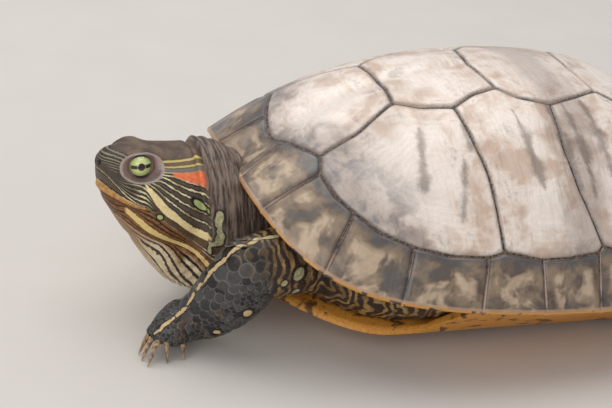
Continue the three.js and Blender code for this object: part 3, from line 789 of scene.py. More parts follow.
# %% Lids, mouth and nostrils
GAZE = np.array([-0.17, 0.97, 0.13]) / np.linalg.norm([-0.17, 0.97, 0.13])
LID_OPENING = math.radians(46)
LID_SPREAD = math.radians(4)
LID_EDGE = math.radians(6)
LID_WIDTH = math.radians(10)
LID_THICKNESS = 0.62
SOCKET_RADIUS = 3.7
MOUTH_LINE = [
    (-20.0, -0.4), (-13.3, -0.9), (-11.0, -2.2), (-8.2, -3.9), (-5.5, -5.2), (-2.6, -6.0), (1.2, -6.3),
]
NOSTRIL = np.array([-14.2, 1.7, 9.2])
NOSTRIL_RADIUS = 0.75


def side_of(local):
    return np.where(local[:, 1] < 0, -1.0, 1.0)


def folded(local):
    """Head points with the left side laid over the right one."""
    return local * np.stack([np.ones(len(local)), side_of(local), np.ones(len(local))], axis=1)


def open_lids(local):
    """Draws the skin in behind the eyeball and lays a lid of even thickness round it."""
    half = folded(local)
    from_eye = half - EYE_CENTRE
    reach = np.linalg.norm(from_eye, axis=1)
    aim = from_eye / np.maximum(reach, 1e-6)[:, None]
    turn = np.arccos(np.clip(aim @ GAZE, -1, 1))
    bearing = np.arctan2(aim[:, 2] - GAZE[2] * (aim @ GAZE), aim[:, 0] - GAZE[0] * (aim @ GAZE))
    turn = turn - LID_SPREAD * np.cos(2 * bearing) * (turn < 1.2)
    lid = EYE_RADIUS + LID_THICKNESS
    edge = ramp(turn, LID_OPENING, LID_OPENING + LID_EDGE)
    near = (reach < 9) & (turn < 1.9)
    rim = LID_OPENING + LID_WIDTH
    skin_reach = np.maximum(reach, lid + 0.25 * ramp(turn, 1.2, 1.6))
    skin_reach = lid + (skin_reach - lid) * ramp(turn, rim, rim + 0.2)
    crest = 0.3 * np.exp(-(((turn - rim - 0.17) / 0.12) ** 2))
    drawn = SOCKET_RADIUS + (skin_reach + crest - SOCKET_RADIUS) * edge
    lids = np.where(turn < LID_OPENING + LID_EDGE, drawn, skin_reach + crest)
    target = np.where(near, np.minimum(lids, 9.5), reach)
    moved = EYE_CENTRE + aim * target[:, None]
    moved[:, 1] *= side_of(local)
    return np.where(near[:, None], moved, local)


def mouth_height(back):
    return np.interp(back, [p[0] for p in MOUTH_LINE], [p[1] for p in MOUTH_LINE])


def shape_mouth(local, normals):
    above = local[:, 2] - mouth_height(local[:, 0])
    along_mouth = 1 - ramp(local[:, 0], 0.6, 1.8)
    on_face = along_mouth * (np.abs(local[:, 1]) > 0) * (local[:, 2] > -12)
    fold = -0.75 * np.exp(-((above / 0.34) ** 2))
    beak = 0.42 * np.exp(-(((above - 1.1) / 0.75) ** 2))
    lower = -0.30 * np.exp(-(((above + 1.3) / 0.9) ** 2))
    return local + normals * ((fold + beak + lower) * on_face)[:, None]


def open_nostrils(local, normals):
    gap = np.linalg.norm(folded(local) - NOSTRIL, axis=1)
    pit = -0.9 * np.exp(-((gap / NOSTRIL_RADIUS) ** 2)) + 0.22 * np.exp(-(((gap - 1.4) / 0.5) ** 2))
    return local + normals * pit[:, None]


def lift_skin(piece, amount):
    move_points(piece, points_of(piece) + normals_of(piece) * np.asarray(amount)[:, None])


def shape_head(piece):
    even_out(piece, 8)
    local = open_lids(to_head(points_of(piece)))
    move_points(piece, from_head(local))
    turned = normals_of(piece) @ HEAD_TURN
    local = shape_mouth(to_head(points_of(piece)), turned)
    local = open_nostrils(local, turned)
    move_points(piece, from_head(local))


shape_head(skin)
shade_smooth(skin, 180)
print("head shaped")

# %% [markdown]
# ## Where the limbs run
# The legs' scales, stripes and claws follow their bones, so the centre lines of the legs and of the tail
# are kept here as they were drawn, each point with the half-height and half-width of the limb there.
# Feet are drawn in a frame of their own, with x towards the toes, and stand where their leg ends.

# %% Centre lines and feet
LIMBS = {
    "foreleg_left": [
        (27, -25, 25, 10, 9), (14, -32, 31, 11.5, 9.5), (2.5, -36, 33, 12.2, 8.6),
        (-2.8, -35, 25.3, 11.4, 7.6), (-9, -31.5, 15.4, 9.8, 6.8), (-15.3, -28, 9.6, 7.4, 6.2),
        (-22.5, -29, 8.5, 6.0, 6.4), (-29, -33, 7.5, 3.6, 5.5),
    ],
    "foreleg_right": [
        (34, 27, 24, 10, 9), (25, 35, 28, 11, 9.5), (18, 41, 27, 10.5, 8.6), (14, 42.5, 20, 9.2, 7.4),
        (10.5, 43, 13.5, 7.6, 6.6), (7, 43.5, 8.6, 6.4, 6.2), (0, 46, 5.0, 5, 7.8), (-8, 49, 3.0, 3, 8),
    ],
    "hindleg_left": [
        (136, -27, 19, 11, 12), (146, -42, 17.5, 10.5, 11), (154, -54, 14, 8.4, 8.6),
        (159, -62, 9, 6.2, 6.6), (157, -72, 4, 4, 9), (154, -82, 2.4, 2.4, 10.6),
    ],
    "hindleg_right": [
        (138, 27, 19, 11, 12), (150, 41, 17.5, 10.5, 11), (160, 51, 14, 8.4, 8.6),
        (167, 57, 9, 6.2, 6.6), (170, 66, 4, 4, 9), (175, 76, 2.4, 2.4, 10.6),
    ],
    "tail": [
        (172, 0, 12.5, 7.5, 8), (184, 0.5, 10.5, 6.2, 6.6), (195, 2.5, 7.4, 4, 4.2),
        (203, 6, 4.4, 2.4, 2.6), (209, 10.5, 2, 1.2, 1.3),
    ],
}


def smooth_line(places, spacing=1.0):
    """A curve through places, as points about a spacing apart."""
    p = np.array(places, float)
    ends = np.vstack([2 * p[0] - p[1], p, 2 * p[-1] - p[-2]])
    out = []
    for k in range(1, len(ends) - 2):
        a, b, c, d = ends[k - 1:k + 3]
        count = max(2, int(np.linalg.norm((c - b)[:3]) / spacing))
        t = np.linspace(0, 1, count, endpoint=False)[:, None]
        out.append(b + 0.5 * t * (c - a + t * (2 * a - 5 * b + 4 * c - d + t * (3 * (b - c) + d - a))))
    return np.vstack(out + [p[-1:]])


def limb_frame(points, name):
    """For each point: the nearest step of a limb's centre line, how far round it lies and how far out."""
    line = smooth_line(LIMBS[name])
    places = line[:, :3] + ORIGIN_SHIFT
    tree = KDTree(len(places))
    for k, place in enumerate(places):
        tree.insert(place, k)
    tree.balance()
    step = np.array([tree.find(p)[1] for p in points])
    ahead = np.gradient(places, axis=0)
    ahead /= np.linalg.norm(ahead, axis=1, keepdims=True)
    across = np.cross([0, 0, 1.0], ahead)
    across /= np.linalg.norm(across, axis=1, keepdims=True)
    over = np.cross(ahead, across)
    away = points - places[step]
    side, height = (away * across[step]).sum(1), (away * over[step]).sum(1)
    size = np.hypot(side / line[step, 4], height / line[step, 3])
    return step, np.arctan2(side, height), size, len(places), ahead


print("limbs", {name: len(smooth_line(rows)) for name, rows in LIMBS.items()})

# %% [markdown]
# ## Folds
# The collar is a sleeve of loose skin: it stands out round the back of the head, with a groove in front
# of it and folds that run round the neck. The legs fold at the elbows and the pockets hang in pleats.

# %% Folds of the neck, the pockets and the legs
COLLAR_FRONT = -7.8
COAT_DEPTH = 0.22


def collar_distance(drawn):
    """How far behind the front edge of the collar a point lies, in millimetres."""
    return drawn[:, 0] + 0.06 * (drawn[:, 2] - 40) - COLLAR_FRONT


def fold_waves(along_skin, wave, seed):
    """Uneven waves, from -1 to 1, along a distance in millimetres."""
    shift = 0.9 * np.sin(along_skin / wave * 1.7 + seed) + 0.5 * np.sin(along_skin / wave * 0.61 + 2 * seed)
    return np.sin(2 * np.pi * along_skin / wave + shift)


def near_neck(drawn, start, stop):
    """1 round the neck and 0 beside it, falling off behind it between two places along the body."""
    x, y = drawn[:, 0], drawn[:, 1]
    return (1 - ramp(x, start, stop)) * ramp(y, -24, -21) * (1 - ramp(y, 24, 27))


def fold_skin(piece):
    points = points_of(piece)
    drawn = points - ORIGIN_SHIFT
    behind = collar_distance(drawn)
    neck = near_neck(drawn, 14, 24)
    high = ramp(drawn[:, 2] - 0.35 * np.abs(drawn[:, 1]), 17, 27)
    roll = 1.8 * ramp(behind, -0.5, 0.9) * (1 - ramp(behind, 5, 18))
    groove = -0.6 * np.exp(-(((behind + 1.2) / 0.9) ** 2))
    pleats = 0.32 * fold_waves(behind + 0.07 * drawn[:, 2], 3.4, 0.4) * ramp(behind, 1.0, 3.0)
    lift = (roll + groove + pleats) * neck * high
    throat = neck * (1 - high) * ramp(drawn[:, 0], -22, -14)
    lift += 0.28 * throat * fold_waves(0.8 * drawn[:, 0] - 0.5 * drawn[:, 2], 3.6, 1.3)
    pocket = ramp(drawn[:, 0], 12, 22) * (1 - ramp(drawn[:, 0], 120, 134))
    lift += 0.35 * pocket * fold_waves(drawn[:, 0] + 0.2 * drawn[:, 2], 5.2, 2.1)
    for name in LEG_NAMES:
        near = np.linalg.norm(drawn - np.array(LIMBS[name])[:, :3].mean(0), axis=1) < 55
        step, angle, size, count, _ = limb_frame(points[near], name)
        share = step / count
        on_leg = (1 - ramp(size, 1.15, 1.4)) * ramp(share, 0.3, 0.42) * (1 - ramp(share, 0.84, 0.95))
        creases = fold_waves(step + 1.6 * np.sin(angle), 4.6, 0.9)
        inner = 0.35 + 0.65 * ramp(np.abs(angle), 0.6, 1.9)
        lift[near] -= (0.30 * inner * np.maximum(creases, 0) ** 2 + COAT_DEPTH) * on_leg
    lift_skin(piece, lift)
    points = points_of(piece)
    points[:, 2] = np.maximum(points[:, 2], 0.05)
    move_points(piece, points)


fold_skin(skin)
print("skin folded; lowest point", round(points_of(skin)[:, 2].min(), 2))

# %% [markdown]
# ## Markings of the face
# The stripes of the face all run from the snout to the neck, side by side. So the skin keeps a single
# number, the stripe it lies on, which grows from the brow down to the throat. Each stripe is guided by
# points chosen in the camera's view, 612 by 408. Rays through that view find the skin, a smooth
# bent plane is laid through what they find, and it turns every guide into heights behind the nose. A
# material can then paint whole numbers light and the gaps dark, and the lines stay sharp at any size.

# %% Stripes of the face
CAMERA_PLACE = np.array([-136.23, -409.17, 266.08]) + ORIGIN_SHIFT
CAMERA_RIGHT = Vector((0.93848, -0.33234, 0.09389)).normalized()
CAMERA_FORWARD = Vector((0.33645, 0.81855, -0.46559)).normalized()
LENS = 86.0
VIEW_SIZE = (612, 408)
SENSOR_WIDTH = 36.0
VIEW_CENTRE_OF_FACE = (150, 200)
VIEW_REACH_OF_FACE = 50
STRIPE_PLACES = [-14, -11, -8, -5, -2, 1, 4, 7, 10, 14, 18]
STRIPE_GUIDES = {
    0: [(104, 143), (118, 147), (128, 153), (140, 156), (155, 157), (165, 158), (185, 156), (208, 153)],
    1: [(101, 147), (112, 149), (124, 156), (140, 160), (155, 161), (165, 161.5), (185, 159.5), (208, 158)],
    3: [(99, 154), (110, 158), (122, 163), (140, 166), (162, 167), (175, 166.5), (190, 165), (208, 165)],
    5: [(98, 159), (109, 163), (120, 168), (140, 171), (160, 172.5), (172, 172.5), (185, 172),
        (208, 171.5)],
    6: [(98, 161), (108, 165), (119, 170), (140, 175), (160, 175), (172, 175.5), (180, 178.5), (190, 182),
        (200, 185), (208, 188)],
    7: [(98, 162), (107, 167), (118, 173), (138, 178), (155, 178), (163, 177), (170, 181), (185, 187.5),
        (197, 192), (208, 196)],
    8: [(98, 163), (107, 168), (117, 174), (137, 180), (155, 180), (160, 180), (166, 184), (172, 188),
        (180, 192.5), (188, 196.5), (208, 205)],
    11: [(98, 164), (110, 173), (122, 181), (133, 184), (150, 186), (156, 193.5), (162, 201), (168, 207.5),
         (176, 214), (184, 221), (192, 227), (200, 231), (210, 234)],
    12: [(98, 165), (110, 174.5), (122, 183), (133, 186), (146, 188), (150, 196), (156, 205), (161, 211.5),
         (168, 217.5), (176, 222), (184, 228.5), (192, 235.5), (200, 237.5), (210, 241)],
    16: [(97, 166), (101, 169), (104.5, 173), (112, 180.5), (120, 188), (126, 195), (131, 201), (140, 206),
         (150, 209), (157, 213.5), (166, 220.5), (176, 226), (184, 232), (192, 239), (200, 243), (210, 247)],
    17: [(97, 180), (104, 184.5), (112, 191), (120, 197), (128, 201.5), (138, 205), (148, 208.5), (157, 214),
         (166, 221.5), (176, 227.5), (184, 234), (192, 241), (200, 246), (210, 252)],
    18: [(97, 188), (106, 193), (112, 197), (120, 201.5), (130, 206), (140, 209.5), (150, 211), (158, 214.5),
         (166, 222.5), (176, 229.5), (186, 237.5), (193, 243), (200, 249), (210, 257)],
    21: [(97, 192), (108, 199), (114, 203.5), (120, 206), (126, 207), (134, 212.5), (142, 219.5),
         (150, 226.5),
         (160, 233), (170, 238.5), (180, 243), (192, 247), (200, 253), (210, 264)],
    22: [(97, 194), (107.5, 202), (113, 208), (119, 211), (124, 211.5), (130, 217), (138, 224.5), (146, 231),
         (155, 236), (168, 242), (180, 246.5), (192, 251), (200, 259), (210, 272)],
    24: [(97, 195), (106.8, 205), (112, 210.5), (118.5, 215.5), (126, 221), (139, 230), (150, 236.5),
         (160, 241.5), (170, 246.5), (177, 251), (180, 258), (185, 264.5), (191, 270), (200, 280),
         (210, 292)],
    25: [(97, 197), (106.5, 207), (111, 213), (118, 220), (128, 228), (140, 235.5), (152, 241.5), (162, 247),
         (168, 251.5), (171, 258), (173, 265), (179, 273), (188, 282), (200, 297)],
    26: [(97, 203), (109, 217), (117, 225), (128, 233), (140, 240.5), (152, 247.5), (160, 252.5), (164, 260),
         (167, 268), (174, 276), (182, 284), (195, 300)],
    27: [(97, 208), (106, 221), (114, 230), (126, 239), (137, 246), (147, 254), (155, 262), (160, 272),
         (166, 281), (172, 290), (186, 306)],
}
STRIPE_GAP = 0.2
RUN_ON = 9
FACE_SIDES = (-21, 2)
FACE_SPOTS = [(x, y) for y in range(146, 284, 4) for x in range(100, 206, 4)]


def lid_reach(back, up):
    """1 on the outline of the lids, less inside it and more outside."""
    return np.hypot((back + 2.3) / 7.0, (up - 7.8) / 5.0)


def face_under(spot):
    """Back, side and up of the skin under a spot of the view, or nothing where the view passes it."""
    right, up = CAMERA_RIGHT, CAMERA_RIGHT.cross(CAMERA_FORWARD)
    across, down = ((spot[k] - VIEW_SIZE[k] / 2) * SENSOR_WIDTH / VIEW_SIZE[0] for k in (0, 1))
    aim = CAMERA_FORWARD * LENS + right * across - up * down
    found, place, _, _ = skin.ray_cast(CAMERA_PLACE / MM, aim.normalized())
    return to_head([np.array(place) * MM])[0] if found else None


def bent_plane(spots):
    """Powers of a spot's two coordinates, up to the third."""
    x, y = ((np.asarray(spots, float) - VIEW_CENTRE_OF_FACE) / VIEW_REACH_OF_FACE).T
    return np.stack([x ** a * y ** b for a in range(4) for b in range(4 - a)], axis=1)


def stripe_rows():
    """Heights of each stripe at the places behind the nose, from its guide points."""
    found = [(spot, face_under(spot)) for spot in FACE_SPOTS]
    on_face = [(spot, at) for spot, at in found if at is not None and FACE_SIDES[0] < at[1] < FACE_SIDES[1]]
    on_face = [(spot, at) for spot, at in on_face if lid_reach(at[0], at[2]) > 1]
    spots, places = (np.array(column) for column in zip(*on_face))
    lay = np.linalg.lstsq(bent_plane(spots), places[:, [0, 2]], rcond=None)[0]
    rows, above = [], np.full(len(STRIPE_PLACES), 99.0)
    for number, guide in STRIPE_GUIDES.items():
        line = bent_plane(guide) @ lay
        line = line[np.argsort(line[:, 0])]
        first, last = line[0] + (line[0] - line[1]) * RUN_ON, line[-1] + (line[-1] - line[-2]) * RUN_ON
        ends = [first, *line, last]
        heights = np.interp(STRIPE_PLACES, [p[0] for p in ends], [p[1] for p in ends])
        above = np.minimum(heights, above - STRIPE_GAP)
        rows.append((number, above))
    return rows


STRIPES = stripe_rows()
GREEN_SPOTS = [((14.6, -5.2), 1.0, 2.6), ((1.9, -8.3), 0.8, 0.9)]


def curve_at(k, back):
    """The height of the k-th row of the table at places behind the nose."""
    curve = smooth_line(list(zip(STRIPE_PLACES, STRIPES[k][1])), 0.5)
    return np.interp(back, curve[:, 0], curve[:, 1])


def back_steps():
    return np.arange(STRIPE_PLACES[0], STRIPE_PLACES[-1] + 1.0, 1.0)


def stripe_at(back, up):
    """The stripe at a place on the cheek, below zero on top of the head, and its width in millimetres."""
    edges = [curve_at(k, back) for k in range(len(STRIPES))]
    found = np.where(up > edges[0], (edges[0] - up) / 1.5, STRIPES[-1][0] + (edges[-1] - up) / 3.0)
    width = np.where(up > edges[0], 1.5, 3.0)
    for k in range(len(STRIPES) - 1):
        first, last = STRIPES[k][0], STRIPES[k + 1][0]
        high = np.maximum(edges[k] - edges[k + 1], 1e-3)
        share = (edges[k] - up) / high
        inside = (share >= 0) & (share < 1)
        slope = np.gradient(curve_at(k, back_steps()), back_steps())
        lean = np.cos(np.arctan(np.interp(back, back_steps(), slope)))
        found = np.where(inside, first + (last - first) * share, found)
        width = np.where(inside, high * lean / (last - first), width)
    return found, width


def mark_face(piece):
    local = to_head(points_of(piece))
    back, lateral, up = folded(local).T
    turned = 1 - np.abs((normals_of(piece) @ HEAD_TURN)[:, 1])
    under = ramp(turned, 0.35, 0.8) * ramp(-up, 8, 15)
    stripe, width = stripe_at(back, up - 1.1 * np.maximum(9 - lateral, 0) * under)
    note(piece, "stripe", stripe)
    note(piece, "stripe_width", width)
    note(piece, "back", back)
    note(piece, "nostril", np.linalg.norm(folded(local) - NOSTRIL, axis=1) / NOSTRIL_RADIUS)
    spot = np.full(len(back), 9.0)
    for (middle_back, middle_up), high, long in GREEN_SPOTS:
        along_spot = 0.7 * (back - middle_back) - 0.7 * (up - middle_up)
        across_spot = 0.7 * (back - middle_back) + 0.7 * (up - middle_up)
        spot = np.minimum(spot, np.hypot(along_spot / long, across_spot / high))
    note(piece, "green", spot)


mark_face(skin)
print("stripes:", len(STRIPES), "rows laid on the face")

# %% [markdown]
# Besides the stripes, each part of the skin has a ground of its own: the brown head, the wrinkled grey
# collar, the striped skin of the leg pockets and the charcoal legs. They are kept as soft weights, and
# the legs carry one long cream stripe and a few pale spots each.

# %% Distance to lines drawn on the skin
LEG_REACH = 1.12
FORELEG_STRIPE = [
    (8.5, -35.7, 43.3), (3.6, -36, 42.8), (-1.4, -37.4, 42.0), (-7.1, -37.7, 39.2), (-12, -34.4, 30.3),
    (-15.1, -31.7, 22.8), (-18.4, -31.0, 16.6), (-22.1, -31.1, 13.3), (-28.2, -32.5, 8.7),
]
COLLAR_BLOTCH = [
    (-4.4, -17.4, 42.5), (-4.7, -17.8, 38.4), (-4, -18.4, 35.7), (-5.6, -17.9, 32.2), (-6.2, -17.8, 29),
]
PALE_SPOTS = [
    ((14.8, -41.6, 32.2), 2.3), ((9.5, -42.9, 29.9), 1.2), ((15.9, -38.9, 24.3), 1.3),
    ((-1.3, -41.6, 19.3), 1.4), ((-9.3, -37.4, 10.7), 1.2), ((21.0, -35.5, 18.0), 1.5),
]


def line_ratio(points, lines):
    """Distance of each point to the nearest line, in half-widths of that line."""
    nearest = np.full(len(points), 9.0)
    for line, widths in lines:
        for a, b, width in zip(line[:-1], line[1:], widths):
            step = b - a
            t = np.clip((points - a) @ step / max(step @ step, 1e-9), 0, 1)
            gap = np.linalg.norm(points - a - t[:, None] * step, axis=1) / width
            nearest = np.minimum(nearest, gap)
    return nearest


def limb_line(name, angle, first=0.0, last=1.0):
    """Points along a limb, on its skin, at an angle from its top."""
    line = smooth_line(LIMBS[name])
    line = line[int(first * len(line)):max(2, int(last * len(line)))]
    ahead = np.gradient(line[:, :3], axis=0)
    across = np.cross([0, 0, 1.0], ahead)
    across /= np.linalg.norm(across, axis=1, keepdims=True)
    over = np.cross(ahead, across)
    over /= np.linalg.norm(over, axis=1, keepdims=True)
    return line[:, :3] + over * (np.cos(angle) * line[:, 3:4]) + across * (np.sin(angle) * line[:, 4:5])


def cream_lines():
    right_stripe = limb_line("foreleg_right", -0.9, 0.1, 0.95)
    stripes = [(FORELEG_STRIPE, 0.5), (COLLAR_BLOTCH, 1.0), (right_stripe, 0.6)]
    striped = {"hindleg_left": (-0.9, 0.5), "hindleg_right": (0.9, -0.5), "tail": (-0.7, 0.7)}
    for name, angles in striped.items():
        stripes += [(limb_line(name, angle, 0.15, 0.95), 0.5) for angle in angles]
    return stripes


def numbers_on(piece, name):
    """The numbers of one name that a piece keeps on its points."""
    return np.array([d.value for d in piece.data.attributes[name].data])


def point_tree(points):
    tree = KDTree(len(points))
    for k, place in enumerate(points):
        tree.insert(place, k)
    tree.balance()
    return tree


# %% Grounds of the skin
def leg_share(drawn, points):
    """How far each point belongs to a leg or the tail, from 0 to 1."""
    share = np.zeros(len(points))
    for name, rows in LIMBS.items():
        near = np.linalg.norm(drawn - np.array(rows)[:, :3].mean(0), axis=1) < 62
        step, _, size, count, _ = limb_frame(points[near], name)
        start = 0.12 if name == "tail" else 0.3
        reach = 1 - ramp(size, LEG_REACH, LEG_REACH + 0.35)
        share[near] = np.maximum(share[near], reach * ramp(step / count, start, start + 0.12))
    return share


def mark_regions(piece):
    points = points_of(piece)
    drawn = points - ORIGIN_SHIFT
    back, _, up = folded(to_head(points)).T
    behind = collar_distance(drawn)
    neck = near_neck(drawn, 24, 32)
    high = ramp(drawn[:, 2] - 0.35 * np.abs(drawn[:, 1]), 19, 27)
    collar = ramp(behind, -0.5, 0.5) * neck * high
    face = (1 - ramp(behind, 2, 12)) * neck
    not_leg = np.maximum(collar, 1 - ramp(drawn[:, 0], -12, -6)) * (np.abs(drawn[:, 1]) < 21)
    leg = leg_share(drawn, points) * (1 - not_leg)
    grounds = {"collar": collar, "face": face, "leg": leg, "pocket": ramp(drawn[:, 0], 2, 10)}
    for name, weight in grounds.items():
        note(piece, name, weight)
    note(piece, "lid", lid_reach(back, up))
    from_eye = folded(to_head(points)) - EYE_CENTRE
    aim = from_eye / np.maximum(np.linalg.norm(from_eye, axis=1, keepdims=True), 1e-6)
    note(piece, "lid_turn", np.degrees(np.arccos(np.clip(aim @ GAZE, -1, 1))))
    tree = point_tree(drawn)
    stripes = []
    for line, width in cream_lines():
        fine = smooth_line(line, 1.0)
        on_skin = np.array([drawn[tree.find(place)[1]] for place in fine])
        waver = 1 + 0.35 * np.sin(np.arange(len(fine)) * 1.1 + 0.6)
        stripes.append((on_skin, width * waver))
    cream = line_ratio(drawn, stripes)
    for place, width in PALE_SPOTS:
        middle = drawn[tree.find(place)[1]]
        cream = np.minimum(cream, np.linalg.norm(drawn - middle, axis=1) / width)
    note(piece, "cream", cream)


def raise_stripe(piece):
    """The cream stripe of a leg is a low ridge of smooth skin."""
    cream = numbers_on(piece, "cream")
    leg = numbers_on(piece, "leg")
    lift_skin(piece, 0.5 * leg * np.exp(-((cream / 1.3) ** 2)))


mark_regions(skin)
raise_stripe(skin)
print("grounds of the skin marked")

# %% [markdown]
# ## Eyes
# A slider's eye is a moist ball with a green and yellow iris, crossed by a dark bar that runs on into
# the head's stripes. A sphere with a slightly domed cornea is enough shape: the iris is drawn by the
# material, round the direction of the gaze.

# %% Eyeballs
CORNEA_LIFT = 0.28


def eyeball(side, word):
    ball = head_ball("eyeball_" + word, EYE_CENTRE, np.array([EYE_RADIUS] * 3), side)
    local = to_head(points_of(ball))
    gaze = GAZE * np.array([1, side, 1])
    centre = EYE_CENTRE * np.array([1, side, 1])
    aim = (local - centre) / EYE_RADIUS
    bulge = CORNEA_LIFT * np.exp(-((np.arccos(np.clip(aim @ gaze, -1, 1)) / 0.55) ** 4))
    move_points(ball, from_head(local + aim * bulge[:, None]))
    shade_smooth(ball, 180)
    return ball


eyes = {"eye_right": eyeball(1, "right"), "eye_left": eyeball(-1, "left")}

# %% [markdown]
# ## Scales
# Legs, feet and tail are covered with small horny scales, and the outer face of the forelegs carries a
# few broad ones. One scale is modelled as a flattened, slightly keeled dome. Places for it are
# then scattered over each limb, never closer together than the scale is wide, and every copy lies with
# its free edge towards the foot. Each coat also gets a map that unrolls the limb: along it upwards,
# round it sideways, with one small patch for each scale.

# %% One scale
KEPT_ON_SCALES = [
    "nostril", "stripe", "stripe_width", "lid_turn", "back", "green", "collar", "face", "leg", "pocket",
    "lid", "cream",
]
PATCH = 0.003


def new_scale():
    """A scale about one unit wide. Its free edge points along +X and it is thickest there."""
    bpy.ops.object.select_all(action="DESELECT")
    bpy.ops.mesh.primitive_uv_sphere_add(segments=12, ring_count=4, radius=0.5)
    scale = bpy.context.object
    bpy.ops.object.mode_set(mode="EDIT")
    bpy.ops.mesh.select_all(action="SELECT")
    bpy.ops.transform.resize(value=(1.2, 1.0, 0.26), center_override=(0, 0, 0))
    bpy.ops.transform.rotate(value=math.radians(8), orient_axis="Y", center_override=(0, 0, 0))
    bpy.ops.object.mode_set(mode="OBJECT")
    places = np.array([v.co[:] for v in scale.data.vertices])
    faces = [list(p.vertices) for p in scale.data.polygons]
    bpy.data.objects.remove(scale)
    return places, faces


SCALE_PLACES, SCALE_FACES = new_scale()
print("one scale:", len(SCALE_FACES), "faces")


# %% Scattering scales over a limb
def scatter(piece, inside, spacing_at, tries, seed):
    """Random places on the faces of a piece that keep their distance from each other."""
    mesh = piece.data
    mesh.calc_loop_triangles()
    corners = np.empty(len(mesh.loop_triangles) * 3, dtype=np.int32)
    mesh.loop_triangles.foreach_get("vertices", corners)
    corners = corners.reshape(-1, 3)
    corners = corners[inside[corners].all(axis=1)]
    points, normals = points_of(piece), normals_of(piece)
    a, b, c = (points[corners[:, k]] for k in range(3))
    area = np.linalg.norm(np.cross(b - a, c - a), axis=1)
    rng = np.random.default_rng(seed)
    chosen = rng.choice(len(corners), tries, p=area / area.sum())
    u, v = rng.random(tries), rng.random(tries)
    u, v = np.where(u + v > 1, 1 - u, u)[:, None], np.where(u + v > 1, 1 - v, v)[:, None]
    places = a[chosen] * (1 - u - v) + b[chosen] * u + c[chosen] * v
    facing = normals[corners[chosen, 0]]
    gaps = spacing_at(places)
    order = np.argsort(-gaps, kind="stable")
    cell = 1.0
    taken, kept = {}, []
    for k in order:
        key = tuple((places[k] // cell).astype(int))
        reach = int(math.ceil(gaps[k] / cell))
        span_of = range(-reach, reach + 1)
        near = (j for dx in span_of for dy in span_of for dz in span_of
                for j in taken.get((key[0] + dx, key[1] + dy, key[2] + dz), ()))
        if all(np.sum((places[j] - places[k]) ** 2) > (0.5 * (gaps[k] + gaps[j])) ** 2 for j in near):
            taken.setdefault(key, []).append(k)
            kept.append(k)
    return places[kept], facing[kept], gaps[kept]


def scale_coat(name, first, fine, broad, tries, seed):
    """The scales of one limb as one piece."""
    points = points_of(skin)
    near = np.linalg.norm(points - ORIGIN_SHIFT - np.array(LIMBS[name])[:, :3].mean(0), axis=1) < 60
    inside = np.zeros(len(points), bool)
    step, _, size, count, _ = limb_frame(points[near], name)
    inside[near] = (size < LEG_REACH + 0.15) & (step / count > first)
    inside &= numbers_on(skin, "leg") > 0.5
    inside &= numbers_on(skin, "cream") > 2.1

    def spacing_at(places):
        at_step, angle, _, steps, _ = limb_frame(places, name)
        outer = np.exp(-(((angle - BROAD_SIDE[name]) / 0.95) ** 2)) * (1 - ramp(at_step / steps, 0.75, 0.95))
        return fine + (broad - fine) * outer

    places, facing, gaps = scatter(skin, inside, spacing_at, tries, seed)
    at_step, angle, _, steps, ahead = limb_frame(places, name)
    along_limb = ahead[at_step] - facing * (ahead[at_step] * facing).sum(1, keepdims=True)
    along_limb /= np.maximum(np.linalg.norm(along_limb, axis=1, keepdims=True), 1e-6)
    across = np.cross(facing, along_limb)
    rng = np.random.default_rng(seed + 1)
    wide = gaps * rng.uniform(1.15, 1.4, len(gaps))
    thick = np.minimum(gaps, 2.2) * rng.uniform(0.8, 1.1, len(gaps))
    local = SCALE_PLACES[None] * np.stack([wide, wide, thick], axis=1)[:, None]
    spots = (places[:, None] + local[..., :1] * along_limb[:, None] + local[..., 1:2] * across[:, None]
             + local[..., 2:] * facing[:, None])
    spots = spots.reshape(-1, 3)
    spots[:, 2] = np.maximum(spots[:, 2], 0.02)
    number = len(SCALE_PLACES)
    faces = [[v + k * number for v in face] for k in range(len(places)) for face in SCALE_FACES]
    mesh = bpy.data.meshes.new("scales_" + name)
    mesh.from_pydata((spots / MM).tolist(), [], faces)
    coat = bpy.data.objects.new("scales_" + name, mesh)
    bpy.context.collection.objects.link(coat)
    tree = point_tree(points)
    nearest = np.array([tree.find(spot)[1] for spot in spots])
    for kept in KEPT_ON_SCALES:
        values = numbers_on(skin, kept)
        note(coat, kept, values[nearest])
    note(coat, "scale_top", np.tile(np.hypot(SCALE_PLACES[:, 0], SCALE_PLACES[:, 1]) * 2, len(places)))
    note(coat, "scale_tone", np.repeat(rng.random(len(places)), number))
    unroll(coat, np.stack([0.5 + angle / (2 * np.pi), at_step / steps], axis=1), number)
    shade_smooth(coat, 50)
    return coat


def unroll(coat, roots, number):
    """One small patch on the map for each scale, where its root lies on the unrolled limb."""
    layer = coat.data.uv_layers.new(name="OFBake")
    corners = np.empty(len(coat.data.loops), dtype=np.int32)
    coat.data.loops.foreach_get("vertex_index", corners)
    patch = roots[corners // number] * (1 - 2 * PATCH) + PATCH + SCALE_PLACES[corners % number, :2] * PATCH
    layer.data.foreach_set("uv", patch.ravel().astype(np.float32))


BROAD_SIDE = {
    "foreleg_left": 0.5, "foreleg_right": -0.5, "hindleg_left": -2.6, "hindleg_right": 2.6, "tail": 0.0,
}
coats = [
    scale_coat("foreleg_left", 0.22, 1.3, 4.6, 30000, 11),
    scale_coat("foreleg_right", 0.22, 1.3, 4.6, 30000, 12),
    scale_coat("hindleg_left", 0.2, 1.05, 1.9, 26000, 13),
    scale_coat("hindleg_right", 0.2, 1.05, 1.9, 26000, 14),
    scale_coat("tail", 0.1, 1.0, 1.3, 12000, 15),
]
print("scales:", {coat.name: len(coat.data.vertices) // len(SCALE_PLACES) for coat in coats})

# %% [markdown]
# ## Claws
# Each claw is a curve with a round section that gets thinner towards the tip. Its course is read from
# the claw of the solid model.

